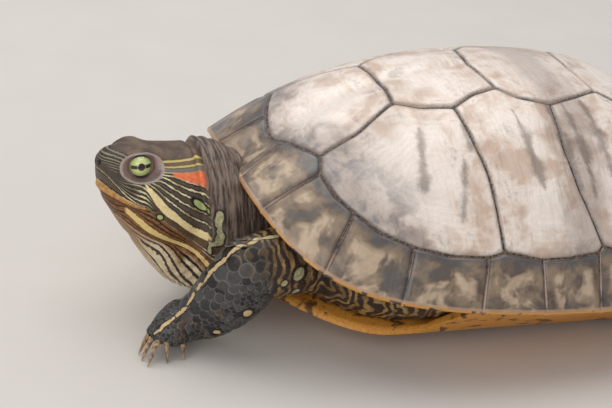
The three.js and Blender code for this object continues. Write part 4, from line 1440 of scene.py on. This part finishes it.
# %% Tapered claws
def claw_course(node):
    """Middles and radii along a claw, from its root to its tip."""
    points = points_of(node)
    middle = points.mean(0)
    course = np.linalg.svd(points - middle)[2][0]
    order = np.argsort((points - middle) @ course)
    parts = np.array_split(points[order], 5)
    radii = [np.linalg.norm(part - part.mean(0), axis=1).mean() for part in parts]
    if parts[0][:, 2].mean() < parts[-1][:, 2].mean():
        parts, radii = parts[::-1], radii[::-1]
    middles = [part.mean(0) for part in parts]
    return smooth_line(np.column_stack([middles, radii]), 0.7)


def new_claw(name, node):
    course = claw_course(node)
    root, tip = course[0], course[-1]
    start = root[:3] - (course[1, :3] - root[:3]) * 0.5
    end = tip[:3] + (tip[:3] - course[-2, :3]) * 1.1
    places = np.vstack([start, course[:, :3], end])
    places[:, 2] = np.maximum(places[:, 2], 0.3)
    radii = np.interp(np.linspace(0, 1, len(places)), [0, 0.12, 0.5, 0.85, 1], [0.6, 0.98, 0.74, 0.42, 0.13])
    bpy.ops.object.select_all(action="DESELECT")
    bpy.ops.curve.primitive_nurbs_path_add()
    claw = bpy.context.object
    claw.name = name + "_horn"
    claw.data.splines.clear()
    line = claw.data.splines.new("POLY")
    line.points.add(len(places) - 1)
    for point, place, radius in zip(line.points, places / MM, radii):
        point.co = (*place, 1)
        point.radius = radius
    claw.data.bevel_depth = 1 / MM
    claw.data.bevel_resolution = 3
    claw.data.use_fill_caps = True
    bpy.ops.object.convert(target="MESH")
    shade_smooth(claw, 60)
    return claw


claws = {name: new_claw(name, node) for name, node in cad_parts.items() if "claw" in name}
print("claws:", len(claws))

# %% [markdown]
# ## Light, floor and camera
# The camera stands low at the animal's left front with a long lens, rolled a little. A broad soft light
# from above and the left gives the shell its bright shoulder, and a pale sky fills the shadows.

# %% Stage

def add_camera():
    bpy.ops.object.camera_add(location=CAMERA_PLACE / MM)
    camera = bpy.context.object
    up = CAMERA_RIGHT.cross(CAMERA_FORWARD)
    turn = Matrix((CAMERA_RIGHT, up, -CAMERA_FORWARD)).transposed()
    camera.matrix_world = Matrix.Translation(camera.location) @ turn.to_4x4()
    camera.data.lens = LENS
    camera.data.clip_start = 0.01
    bpy.context.scene.camera = camera
    return camera


def add_softbox(name, place, size, power, colour=(1, 1, 1)):
    bpy.ops.object.light_add(type="AREA", location=place)
    light = bpy.context.object
    light.name = name
    light.data.size = size
    light.data.energy = power
    light.data.color = colour
    light.rotation_euler = (Vector((0, 0, 0.03)) - Vector(place)).to_track_quat("-Z", "Y").to_euler()


def add_floor():
    bpy.ops.object.select_all(action="DESELECT")
    bpy.ops.mesh.primitive_plane_add(size=6)
    floor = bpy.context.object
    floor.name = "floor"
    return floor


camera = add_camera()
add_softbox("window", (-0.08, 0.22, 0.80), 0.9, 5.0, (1.0, 0.98, 0.95))
add_softbox("front_fill", (-0.7, -0.7, 0.5), 0.8, 3.4, (1.0, 0.97, 0.93))
world = bpy.data.worlds.new("studio")
bpy.context.scene.world = world
world.use_nodes = True
world.node_tree.nodes["Background"].inputs["Color"].default_value = (0.92, 0.92, 0.95, 1)
world.node_tree.nodes["Background"].inputs["Strength"].default_value = 0.50
bpy.context.scene.view_settings.view_transform = "Standard"
floor = add_floor()
print("camera at", [round(v, 3) for v in camera.location])

# %% [markdown]
# ## Materials
# All colours come from numbers: places in space, the distances kept on each piece, and noise. To keep
# the arithmetic readable, one small class stands for a number in the shader and knows plus, times and
# the rest, and a finish makes its other nodes through a single method.

# %% Numbers and nodes of a finish
class Number:
    """A number in a shader. Arithmetic on it adds Math nodes."""

    def __init__(self, finish, socket):
        self.finish = finish
        self.socket = socket

    def _math(self, operation, *values):
        return self.finish.node("ShaderNodeMath", {"operation": operation}, dict(enumerate(values)))

    def __add__(self, other):
        return self._math("ADD", self, other)

    def __sub__(self, other):
        return self._math("SUBTRACT", self, other)

    def __rsub__(self, other):
        return self._math("SUBTRACT", other, self)

    def __mul__(self, other):
        return self._math("MULTIPLY", self, other)

    def __truediv__(self, other):
        return self._math("DIVIDE", self, other)

    def __pow__(self, other):
        return self._math("POWER", self, other)

    def highest(self, other):
        return self._math("MAXIMUM", self, other)

    def sine(self):
        return self._math("SINE", self)

    def size(self):
        return self._math("ABSOLUTE", self)

    __radd__ = __add__
    __rmul__ = __mul__


def colour(code):
    """A colour from its six-letter code, in Blender's linear values."""
    parts = [int(code[k:k + 2], 16) / 255 for k in (0, 2, 4)]
    linear = [p / 12.92 if p <= 0.04045 else ((p + 0.055) / 1.055) ** 2.4 for p in parts]
    return (*linear, 1.0)


class Finish:
    """One material, built on a Principled shader whose plain numbers are set on its own sockets."""

    def __init__(self, name, **constants):
        self.material = bpy.data.materials.new(name)
        self.material.use_nodes = True
        self.tree = self.material.node_tree
        self.shader = self.tree.nodes["Principled BSDF"]
        for socket, value in constants.items():
            self.shader.inputs[socket.replace("_", " ")].default_value = value

    def feed(self, socket, value):
        if isinstance(value, Number):
            self.tree.links.new(value.socket, socket)
        elif isinstance(value, bpy.types.NodeSocket):
            self.tree.links.new(value, socket)
        else:
            socket.default_value = value

    def node(self, kind, settings=None, sockets=None, output=0):
        made = self.tree.nodes.new(kind)
        for name, value in (settings or {}).items():
            if name == "stops":
                self.set_stops(made.color_ramp, value)
            else:
                setattr(made, name, value)
        for name, value in (sockets or {}).items():
            self.feed(made.inputs[name], value)
        return Number(self, made.outputs[output])

    @staticmethod
    def set_stops(scale, stops):
        while len(scale.elements) < len(stops):
            scale.elements.new(0.5)
        for element, (place, code) in zip(scale.elements, stops):
            element.position = place
            element.color = colour(code)

    def place(self, factors=(1, 1, 1)):
        """Object coordinates in millimetres, squeezed by a factor along each axis."""
        at = self.node("ShaderNodeTexCoord", output="Object")
        sockets = {0: at, 1: [f * MM for f in factors]}
        return self.node("ShaderNodeVectorMath", {"operation": "MULTIPLY"}, sockets)

    def kept(self, name):
        """A number kept on the piece's points."""
        return self.node("ShaderNodeAttribute", {"attribute_name": name}, output="Fac")

    def noise(self, place, size, detail=3.0, roughness=0.55, distortion=0.0):
        """Soft noise from 0 to 1, with lumps about a size in millimetres across."""
        sockets = {"Vector": place, "Scale": 1 / size, "Detail": detail, "Roughness": roughness}
        return self.node("ShaderNodeTexNoise", {}, {**sockets, "Distortion": distortion})

    def cells(self, place, size, feature="F1", output="Distance"):
        sockets = {"Vector": place, "Scale": 1 / size}
        return self.node("ShaderNodeTexVoronoi", {"feature": feature}, sockets, output)

    def step(self, value, low, high):
        """0 below low, 1 above high, and smooth between. low may be the greater one."""
        sockets = {"Value": value, "From Min": low, "From Max": high}
        return self.node("ShaderNodeMapRange", {"interpolation_type": "SMOOTHSTEP"}, sockets)

    def scale(self, value, stops):
        return self.node("ShaderNodeValToRGB", {"stops": stops}, {"Fac": value})

    def mix(self, share, below, above):
        """A share of one colour over another."""
        below, above = (colour(c) if isinstance(c, str) else c for c in (below, above))
        sockets = {0: share, 6: below, 7: above}
        return self.node("ShaderNodeMix", {"data_type": "RGBA"}, sockets, output=2)

    def bump(self, height, depth, below=None):
        """A relief of a height in millimetres, laid over another relief."""
        sockets = {"Height": height, "Distance": depth / MM, "Strength": 1.0}
        if below is not None:
            sockets["Normal"] = below
        return self.node("ShaderNodeBump", {}, sockets)

    def wear(self, *pieces, **links):
        """Links the shader's changing sockets and gives the finish to its pieces."""
        for socket, value in links.items():
            self.feed(self.shader.inputs[socket.replace("_", " ")], value)
        for piece in pieces:
            piece.data.materials.clear()
            piece.data.materials.append(self.material)


print("materials can be mixed")

# %% [markdown]
# ### Skin
# On the face every whole number of the stripe count is a thin light line with black beside it, and brown
# lies between. A few bands are special: the red patch behind the eye, the broad cream stripe below it,
# the tan edge of the beak and the pale line of the lower jaw. From the jaw down the count is painted
# the other way round, dark lines on orange-brown and cream.

# %% The skin's finish
def face_colour(paint, stripe, back, fine, broad):
    """The colour of the head and throat from the stripe count."""
    ping = 2 * paint.node("ShaderNodeMath", {"operation": "PINGPONG"}, {0: stripe, 1: 0.5})
    width = paint.kept("stripe_width")
    off_line = (ping * width / 0.56).highest(ping / 0.42)
    room = paint.step(width, 0.35, 0.85)

    def band(first, last, soft=0.08):
        return paint.step(stripe, first - soft, first + soft) * paint.step(stripe, last + soft, last - soft)

    top = paint.mix(paint.step(broad, 0.35, 0.65), "4a3b30", "6e5947")
    light = paint.mix(paint.step(broad, 0.38, 0.62), "9c8f68", "e6dab0")
    between = paint.mix(fine, "3a2f28", "6b5c50")
    dull = paint.step(back, -3.5, -6.5) * paint.step(stripe, 15.4, 14.6)
    light = paint.mix(dull * 0.8, light, paint.mix(broad, "2b2622", "6a6153"))
    colours = paint.mix(paint.step(off_line, 0.8, 1.2), light, "17120f")
    colours = paint.mix(paint.step(off_line, 1.9, 2.5), colours, between)
    colours = paint.mix(room, paint.mix(broad, "2b231e", "5d5044"), colours)
    behind_eye = paint.step(back, 2, 5)
    brow = paint.mix(paint.step(ping, 0.5, 0.8), "c4b06a", "5d4c38")
    colours = paint.mix(band(0.4, 4.4) * behind_eye, colours, brow)
    colours = paint.mix(band(1.5, 2.5) * behind_eye, colours, "6d5a41")
    colours = paint.mix(band(3.6, 4.9) * behind_eye, colours, "7a7069")
    colours = paint.mix(paint.step(stripe, 0.6, 0.2), colours, top)
    red = paint.mix(paint.step(fine, 0.3, 0.7), "e26a3c", "f08a5c")
    colours = paint.mix(band(5.0, 6.0) * paint.step(back, 6.4, 7.4), colours, red)
    cream = paint.mix(paint.step(fine, 0.3, 0.7), "e9cf8c", "f8e6b2")
    under = band(12.2, 16.9, 0.2) * paint.step(back, -1.0, 2.5)
    colours = paint.mix(under, colours, paint.mix(fine, "33271d", "7a5a3a"))
    colours = paint.mix(band(11.0, 12.0, 0.05) * paint.step(back, -2.4, -1.4), colours, cream)
    beak = paint.mix(paint.step(fine, 0.35, 0.65), "a8722f", "c6995a")
    colours = paint.mix(band(16.95, 18.0, 0.12) * paint.step(back, 0.5, -1.5), colours, beak)

    jaw = paint.mix(paint.step(fine, 0.35, 0.65), "6a4425", "9a6734")
    jaw = paint.mix(paint.step(stripe, 23.6, 24.4), jaw, paint.mix(fine, "9a7450", "bd9b70"))
    throat = paint.mix(paint.step(fine, 0.3, 0.7), "d6c198", "e8dabd")
    jaw = paint.mix(paint.step(stripe, 24.0, 25.0) * paint.step(back, -6, 3), jaw, throat)
    jaw = paint.mix(paint.step(stripe, 22.2, 23.4) * paint.step(back, 9.5, 12), jaw, throat)
    dark = paint.mix(paint.step(stripe, 23, 26), "24160f", "4c3a33")
    fading = 1 - 0.65 * paint.step(stripe, 27, 33)
    jaw = paint.mix(paint.step(ping, 0.46, 0.28) * fading, jaw, dark)
    jaw = paint.mix(band(21.0, 22.0) * paint.step(back, -8.6, -7.6), jaw, paint.mix(fine, "d9ae63", "efdc9a"))
    # Painted shade: the mouth fold under the upper beak is painted as a near-black line.
    mouth = band(17.97, 18.25, 0.1) * paint.step(back, 2.5, 0.5)
    return paint.mix(mouth, paint.mix(paint.step(stripe, 18.0, 18.15), colours, jaw), "17100c")


def skin_finish():
    paint = Finish("slider_skin", Specular_IOR_Level=0.42)
    place = paint.place()
    broad = paint.noise(place, 5.0, 3)
    fine = paint.noise(place, 1.1, 4, 0.6)
    grain = paint.noise(place, 0.4, 3, 0.6)
    waver = (fine - 0.5) * 0.5
    lid = paint.kept("lid")
    leg = paint.kept("leg")

    ground = face_colour(paint, paint.kept("stripe") + waver, paint.kept("back"), fine, broad)
    spot = paint.kept("green") + waver * 0.5
    ground = paint.mix(paint.step(spot, 1.75, 1.35), ground, "17130f")
    ground = paint.mix(paint.step(spot, 1.1, 0.9), ground, "b3bb80")

    # Painted shade: the nostril pits are painted near black.
    ground = paint.mix(paint.step(paint.kept("nostril"), 1.5, 1.0), ground, "0d0a08")
    bent = paint.noise(place, 11.0, 2)
    along_x = paint.node("ShaderNodeSeparateXYZ", {}, {0: place}, output=0)
    bars = ((along_x + bent * 14.0 + fine * 1.5) * 1.9).sine()
    pocket = paint.mix(paint.step(bars, -0.1, 0.45), "2d201a", "a3824f")
    pocket = paint.mix(paint.step(broad, 0.60, 0.42) * 0.6, pocket, "3a2b24")
    ground = paint.mix(paint.step(paint.kept("face"), 0.6, 0.2), ground, pocket)

    folds = paint.noise(paint.place((1.0, 0.12, 0.12)), 0.85, 4, 0.6)
    # Painted shade: the collar is painted dark in the grooves of its folds and light on their crests, from
    # the same noise that raises the folds.
    collar = paint.mix(paint.step(folds, 0.36, 0.62), "3a2f29", "867468")
    collar = paint.mix(paint.step(broad, 0.5, 0.7) * 0.5, collar, "5d4632")
    ground = paint.mix(paint.kept("collar"), ground, collar)

    tone = paint.kept("scale_tone")
    charcoal = paint.mix(paint.step(fine * 0.5 + tone * 0.5, 0.28, 0.72), "1b1b1c", "474747")
    charcoal = paint.mix(paint.step(broad + (grain - 0.5) * 0.3, 0.58, 0.74) * 0.55, charcoal, "6b4a2b")
    charcoal = paint.mix(paint.step(paint.kept("scale_top"), 0.78, 1.0) * 0.45, charcoal, "7f7a70")
    ground = paint.mix(leg, ground, charcoal)

    cream = paint.kept("cream") + waver
    ground = paint.mix(paint.step(cream, 1.9, 1.3) * 0.8, ground, "171310")
    pale = paint.mix(paint.step(fine, 0.3, 0.7), "8f8a66", "c9c39a")
    pale = paint.mix(leg, pale, paint.mix(fine, "b08d5c", "dcc596"))
    ground = paint.mix(paint.step(cream, 1.12, 0.9), ground, pale)

    turn = paint.kept("lid_turn")
    rings = (turn * 0.75 + fine * 4.0).sine()
    # Painted shade: the lid's wrinkle rings are painted darker in their grooves and lighter on their ridges.
    lid_colour = paint.mix(paint.step(rings, -0.9, 0.9) * 0.6, "8f7a72", "b5a49c")
    lid_colour = paint.mix(paint.step(broad, 0.45, 0.6) * 0.4, lid_colour, "a07f6a")
    # Painted shade of the eye socket: a dark brown ring inside the lid's crest, and a near-black inner lid
    # edge where the skin turns in behind the eyeball.
    lid_colour = paint.mix(paint.step(turn, 68, 58) * 0.8, lid_colour, "5c463e")
    lid_colour = paint.mix(paint.step(turn, 52, 48), lid_colour, "1d120d")
    lid_colour = paint.mix(paint.step(lid, 0.84, 0.95) * 0.8, lid_colour, "b5a6a0")
    ground = paint.mix(paint.step(lid + waver * 0.12, 1.04, 0.96) * paint.kept("face"), ground, lid_colour)

    pebbles = paint.cells(place, 0.8)
    bare = paint.kept("pocket") * 0.8
    relief = paint.bump(pebbles * bare, 0.3)
    relief = paint.bump(grain, 0.08, relief)
    relief = paint.bump(folds * paint.kept("collar"), 0.55, relief)
    relief = paint.bump(rings * paint.step(lid, 1.05, 0.95), 0.12, relief)
    paint.wear(skin, *coats, Base_Color=ground, Roughness=0.40 + 0.2 * fine - 0.12 * leg, Normal=relief)


skin_finish()

# %% [markdown]
# ### Horn
# Old sun-bleached horn. The big plates are cream in the middle, with a white top of painted highlight
# and wear, smudges and streaks of brown and blue-grey that follow the plates' own edges, and fine growth
# rings. The marginals are taupe with a dark band of painted shade along their upper edge, and below the
# rim they turn yellow like the plastron.

# %% The carapace's finishes
DARK_STREAKS = [
    [(52, -28), (50, -44)], [(64, -40), (61, -52)], [(66, -30), (67, -38)],
    [(85, -27), (87, -40), (89.5, -50)], [(104, -23), (106, -38), (108, -52)],
    [(98, -24), (101, -40), (103, -50)], [(112, -22), (115, -40), (117, -50)],
    [(58, 26), (55, 40)], [(86, 30), (89, 46)], [(110, 24), (114, 46)],
]


def mark_vault():
    """Keeps on each plate how near a point lies to a dark streak, in half-widths."""
    streaks = []
    for k, line in enumerate(DARK_STREAKS):
        flat = smooth_line([(x, y, 0) for x, y in line], 2.0)
        taper = np.sin(np.pi * (np.arange(len(flat)) + 0.7) / (len(flat) + 0.4))
        waver = (1.0 + 0.5 * np.sin(np.arange(len(flat)) * 1.3 + k)) * taper + 0.25
        streaks.append((flat, waver))
    for plate in plates:
        local = to_shell(points_of(plate))
        flat = np.column_stack([local[:, 0], local[:, 1], np.zeros(len(local))])
        note(plate, "streak", line_ratio(flat, streaks))
        note(plate, "shell_x", local[:, 0])
        note(plate, "shell_y", local[:, 1])


def vault_finish():
    horn = Finish("vault_horn", Specular_IOR_Level=0.55, Coat_Roughness=0.22)
    place = horn.place()
    edge = horn.kept("edge")
    shell_x, shell_y = horn.kept("shell_x"), horn.kept("shell_y")
    broad = horn.noise(place, 26, 3, 0.6, 0.4)
    patch = horn.noise(place, 9, 4, 0.58, 0.4)
    streak = horn.noise(horn.place((1.0, 0.14, 0.14)), 2.6, 4, 0.62)
    fine = horn.noise(place, 0.8, 4, 0.65)
    ground = horn.mix(horn.step(patch, 0.36, 0.60), "cbb29f", "ebddd1")
    ground = horn.mix(horn.step(broad, 0.50, 0.66) * 0.55, ground, "bba99c")
    ground = horn.mix(horn.step(streak, 0.56, 0.72) * 0.45, ground, "9a8577")
    ground = horn.mix(horn.step(patch + fine * 0.25, 0.70, 0.84) * 0.5, ground, "7c7370")
    # Painted highlight and wear: the middles of the big plates are painted near white, for the bright
    # highlight on the shell's top as well as for worn horn.
    wear_and_highlight = horn.step(edge + patch * 8, 8, 16) * horn.step(broad + streak * 0.3, 0.48, 0.70)
    ground = horn.mix(wear_and_highlight * 0.75, ground, "f4eae1")
    low_front = horn.step(shell_x - shell_y.size() * 0.55 + patch * 22, 38, 16)
    ground = horn.mix(low_front * 0.8, ground, horn.mix(horn.step(patch, 0.35, 0.65), "5d6068", "a3948a"))
    bar_x = shell_x + broad * 22 + streak * 6
    rear_bar = horn.step(bar_x, 106, 114) * horn.step(bar_x, 130, 120)
    ground = horn.mix(rear_bar * 0.5, ground, "8d7c72")
    dark = horn.step(horn.kept("streak") + (fine - 0.5) * 1.4 + (patch - 0.5) * 4.0, 1.9, 0.1)
    ground = horn.mix(dark * 0.6, ground, "5b4c44")
    rings = (edge * 3.3 + patch * 6.0).sine()
    ground = horn.mix(horn.step(rings, 0.5, 1.0) * 0.05, ground, "6f6259")
    ground = horn.mix(horn.step(edge + patch * 5, 4.6, 1.6) * 0.45, ground, "857a75")
    soiled = 0.35 + 0.6 * horn.step(patch, 0.42, 0.58)
    ground = horn.mix(horn.step(edge + fine * 1.3, 2.0, 0.7) * soiled, ground, "3f3a3a")
    ground = horn.mix(horn.step(fine, 0.62, 0.78) * 0.35, ground, "6e625a")
    relief = horn.bump(streak, 0.4)
    relief = horn.bump(rings, 0.015, relief)
    relief = horn.bump(patch, 0.7, relief)
    relief = horn.bump(fine, 0.12, relief)
    vault = [p for p in plates if p.name.startswith(("vertebral", "costal"))]
    gloss = 0.8 * horn.step(broad, 0.7, 0.4)
    horn.wear(*vault, Base_Color=ground, Roughness=0.30 + 0.22 * fine, Normal=relief, Coat_Weight=gloss)


def rim_finish():
    horn = Finish("rim_horn", Specular_IOR_Level=0.55, Coat_Roughness=0.2)
    place = horn.place()
    edge, band = horn.kept("edge"), horn.kept("band")
    broad = horn.noise(place, 11, 3, 0.6, 0.5)
    patch = horn.noise(place, 6.5, 3, 0.55, 0.4)
    fine = horn.noise(place, 0.7, 4, 0.65)
    ground = horn.mix(horn.step(patch, 0.36, 0.64), "584a3f", "8a765f")
    pale = horn.step(edge + patch * 2, 3.0, 5.5) * horn.step(broad, 0.46, 0.60) * horn.step(band, 0.2, 0.4)
    ground = horn.mix(pale * 0.85, ground, horn.mix(patch, "a88f74", "d8c3aa"))
    ground = horn.mix(horn.step(broad, 0.46, 0.30) * 0.6, ground, "4c4d52")
    # Painted shade: the upper band of each marginal, along the costal seam, is painted dark blue-grey.
    ground = horn.mix(horn.step(band + patch * 0.3, 0.42, 0.22) * 0.75, ground, "4b4a4e")
    rings = (edge * 4.0 + patch * 5.0).sine()
    ground = horn.mix(horn.step(rings, 0.4, 1.0) * 0.06, ground, "3f3834")
    ground = horn.mix(horn.step(edge + patch * 3, 3.6, 1.2) * 0.5, ground, "3f3a3a")
    ground = horn.mix(horn.step(edge + fine, 1.6, 0.8) * 0.9, ground, "2c2625")
    # A pale worn line right along the plate's edge: on the marginals this mask is wear only.
    wear_and_highlight = horn.step(edge + fine * 0.3, 0.62, 0.40) * horn.step(patch, 0.35, 0.5)
    ground = horn.mix(wear_and_highlight, ground, "a2826f")
    ground = horn.mix(horn.step(band, 0.97, 1.0) * (0.5 + 0.5 * patch), ground, "b08c6c")
    below = horn.mix(horn.step(patch, 0.52, 0.60), "c98c30", "33241a")
    ground = horn.mix(horn.step(band, 1.06, 1.14), ground, below)
    relief = horn.bump(patch, 0.3)
    relief = horn.bump(rings, 0.012, relief)
    relief = horn.bump(fine, 0.10, relief)
    rim_plates = [p for p in plates if p.name.startswith(("marginal", "nuchal"))]
    gloss = 0.8 * horn.step(broad, 0.65, 0.4)
    horn.wear(*rim_plates, Base_Color=ground, Roughness=0.28 + 0.22 * fine, Normal=relief, Coat_Weight=gloss)


def bed_finish():
    bed_horn = Finish("seam_bed")
    place = bed_horn.place()
    fine = bed_horn.noise(place, 0.8, 3)
    ground = bed_horn.mix(bed_horn.step(fine, 0.4, 0.6), "2f2725", "75604f")
    bed_horn.wear(bed, Base_Color=ground, Roughness=0.5 + 0.1 * fine, Normal=bed_horn.bump(fine, 0.1))


def belly_finish():
    horn = Finish("belly_horn", Specular_IOR_Level=0.5)
    place = horn.place()
    patch = horn.noise(place, 9, 3, 0.6, 0.5)
    fine = horn.noise(place, 0.8, 4, 0.6)
    ground = horn.mix(horn.step(fine, 0.3, 0.7), "c9822a", "dca04a")
    ground = horn.mix(horn.step(patch, 0.54, 0.62) * 0.85, ground, "38291e")
    seam = horn.kept("seam")
    ground = horn.mix(horn.step(seam + fine * 0.5, 0.9, 0.4) * 0.8, ground, "4a2f18")
    relief = horn.bump(horn.step(seam, 0.9, 0.2), -0.3, horn.bump(fine, 0.08))
    horn.wear(plastron, Base_Color=ground, Roughness=0.4 + 0.15 * fine, Normal=relief)


BELLY_SEAMS = [30, 52, 84, 112, 140]


def mark_belly():
    """Keeps how far a point of the plastron lies from the seams of its twelve shields, in millimetres."""
    local = to_shell(points_of(plastron))
    bowed = local[:, 0] - 0.0016 * local[:, 1] ** 2 * np.sign(local[:, 0] - 84)
    gaps = [np.abs(bowed - x) for x in BELLY_SEAMS] + [np.abs(local[:, 1])]
    note(plastron, "seam", np.minimum.reduce(gaps))


mark_vault()
mark_belly()
vault_finish()
rim_finish()
bed_finish()
belly_finish()

# %% Eyes, claws and floor
def eye_finish(node, side):
    glass = Finish("eye_" + node[4:], Roughness=0.12, Coat_Weight=0.8, Coat_Roughness=0.03)
    centre = from_head([EYE_CENTRE * np.array([1, side, 1])])[0] / MM
    gaze = Vector(HEAD_TURN @ (GAZE * np.array([1, side, 1])))
    back = Vector(HEAD_TURN[:, 0])
    up = gaze.cross(back).normalized()
    turn = Matrix((up.cross(gaze), up, gaze)).transposed().to_euler()
    at = glass.node("ShaderNodeTexCoord", output="Object")
    mapping = {"Vector": at, "Location": centre, "Rotation": turn, "Scale": (1 / MM,) * 3}
    local = glass.node("ShaderNodeMapping", {"vector_type": "TEXTURE"}, mapping)
    x = glass.node("ShaderNodeSeparateXYZ", {}, {0: local}, output=0)
    y = glass.node("ShaderNodeSeparateXYZ", {}, {0: local}, output=1)
    out = (x * x + y * y) ** 0.5
    bearing = glass.node("ShaderNodeMath", {"operation": "ARCTAN2"}, {0: y, 1: x})
    ray_place = glass.node("ShaderNodeCombineXYZ", {}, {0: bearing * 2.2, 1: out * 0.35})
    rays = glass.noise(ray_place, 0.24, 3)
    stops = [
        (0.0, "d9cf6a"), (0.38, "cdd07a"), (0.52, "b4cf92"), (0.74, "9aa650"), (0.88, "5d4f24"),
        (0.97, "1c150c"),
    ]
    iris = glass.scale(out / 4.2, stops)
    iris = glass.mix(glass.step(rays, 0.4, 0.7) * 0.45, iris, "ece2a0")
    bar = glass.step(y.size() + rays * 0.35, 0.92, 0.55) * glass.step(x.size(), 3.5, 2.9)
    iris = glass.mix(bar * 0.92, iris, "0f100b")
    iris = glass.mix(glass.step(out, 1.44, 1.38) * 0.7, iris, "d9d284")
    iris = glass.mix(bar * glass.step(out, 1.15, 1.45), iris, "0f100b")
    iris = glass.mix(glass.step(out, 1.26, 1.16), iris, "040404")
    glass.wear(eyes[node], Base_Color=iris)


def floor_finish():
    paper = Finish("pale_floor", Roughness=0.9)
    grain = paper.noise(paper.place(), 40, 2)
    paper.wear(floor, Base_Color=paper.mix(grain, "cfcac4", "d6d2cd"))


def claw_finish():
    horn = Finish("claw_horn", Roughness=0.32)
    streak = horn.noise(horn.place((1, 1, 0.3)), 0.7, 3)
    ground = horn.mix(horn.step(streak, 0.35, 0.65), "6f5641", "b99c7b")
    horn.wear(*claws.values(), Base_Color=ground, Normal=horn.bump(streak, 0.05))


eye_finish("eye_right", 1)
eye_finish("eye_left", -1)
floor_finish()
claw_finish()
print("finishes:", len(bpy.data.materials))

# %% [markdown]
# ## Attaching the pieces
# Every piece rides on the one body, and the CAD solids that the new pieces stand for are hidden.

# %% Pieces and nodes
for plate in plates:
    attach(plate, "root")
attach(bed, "root")
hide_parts("carapace")
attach(plastron, "root")
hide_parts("plastron")
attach(skin, "root")
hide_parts(*FLESH)
for coat in coats:
    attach(coat, "root")
for name, claw in claws.items():
    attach(claw, "root")
    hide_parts(name)
for node, ball in eyes.items():
    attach(ball, "root")
    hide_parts(node)
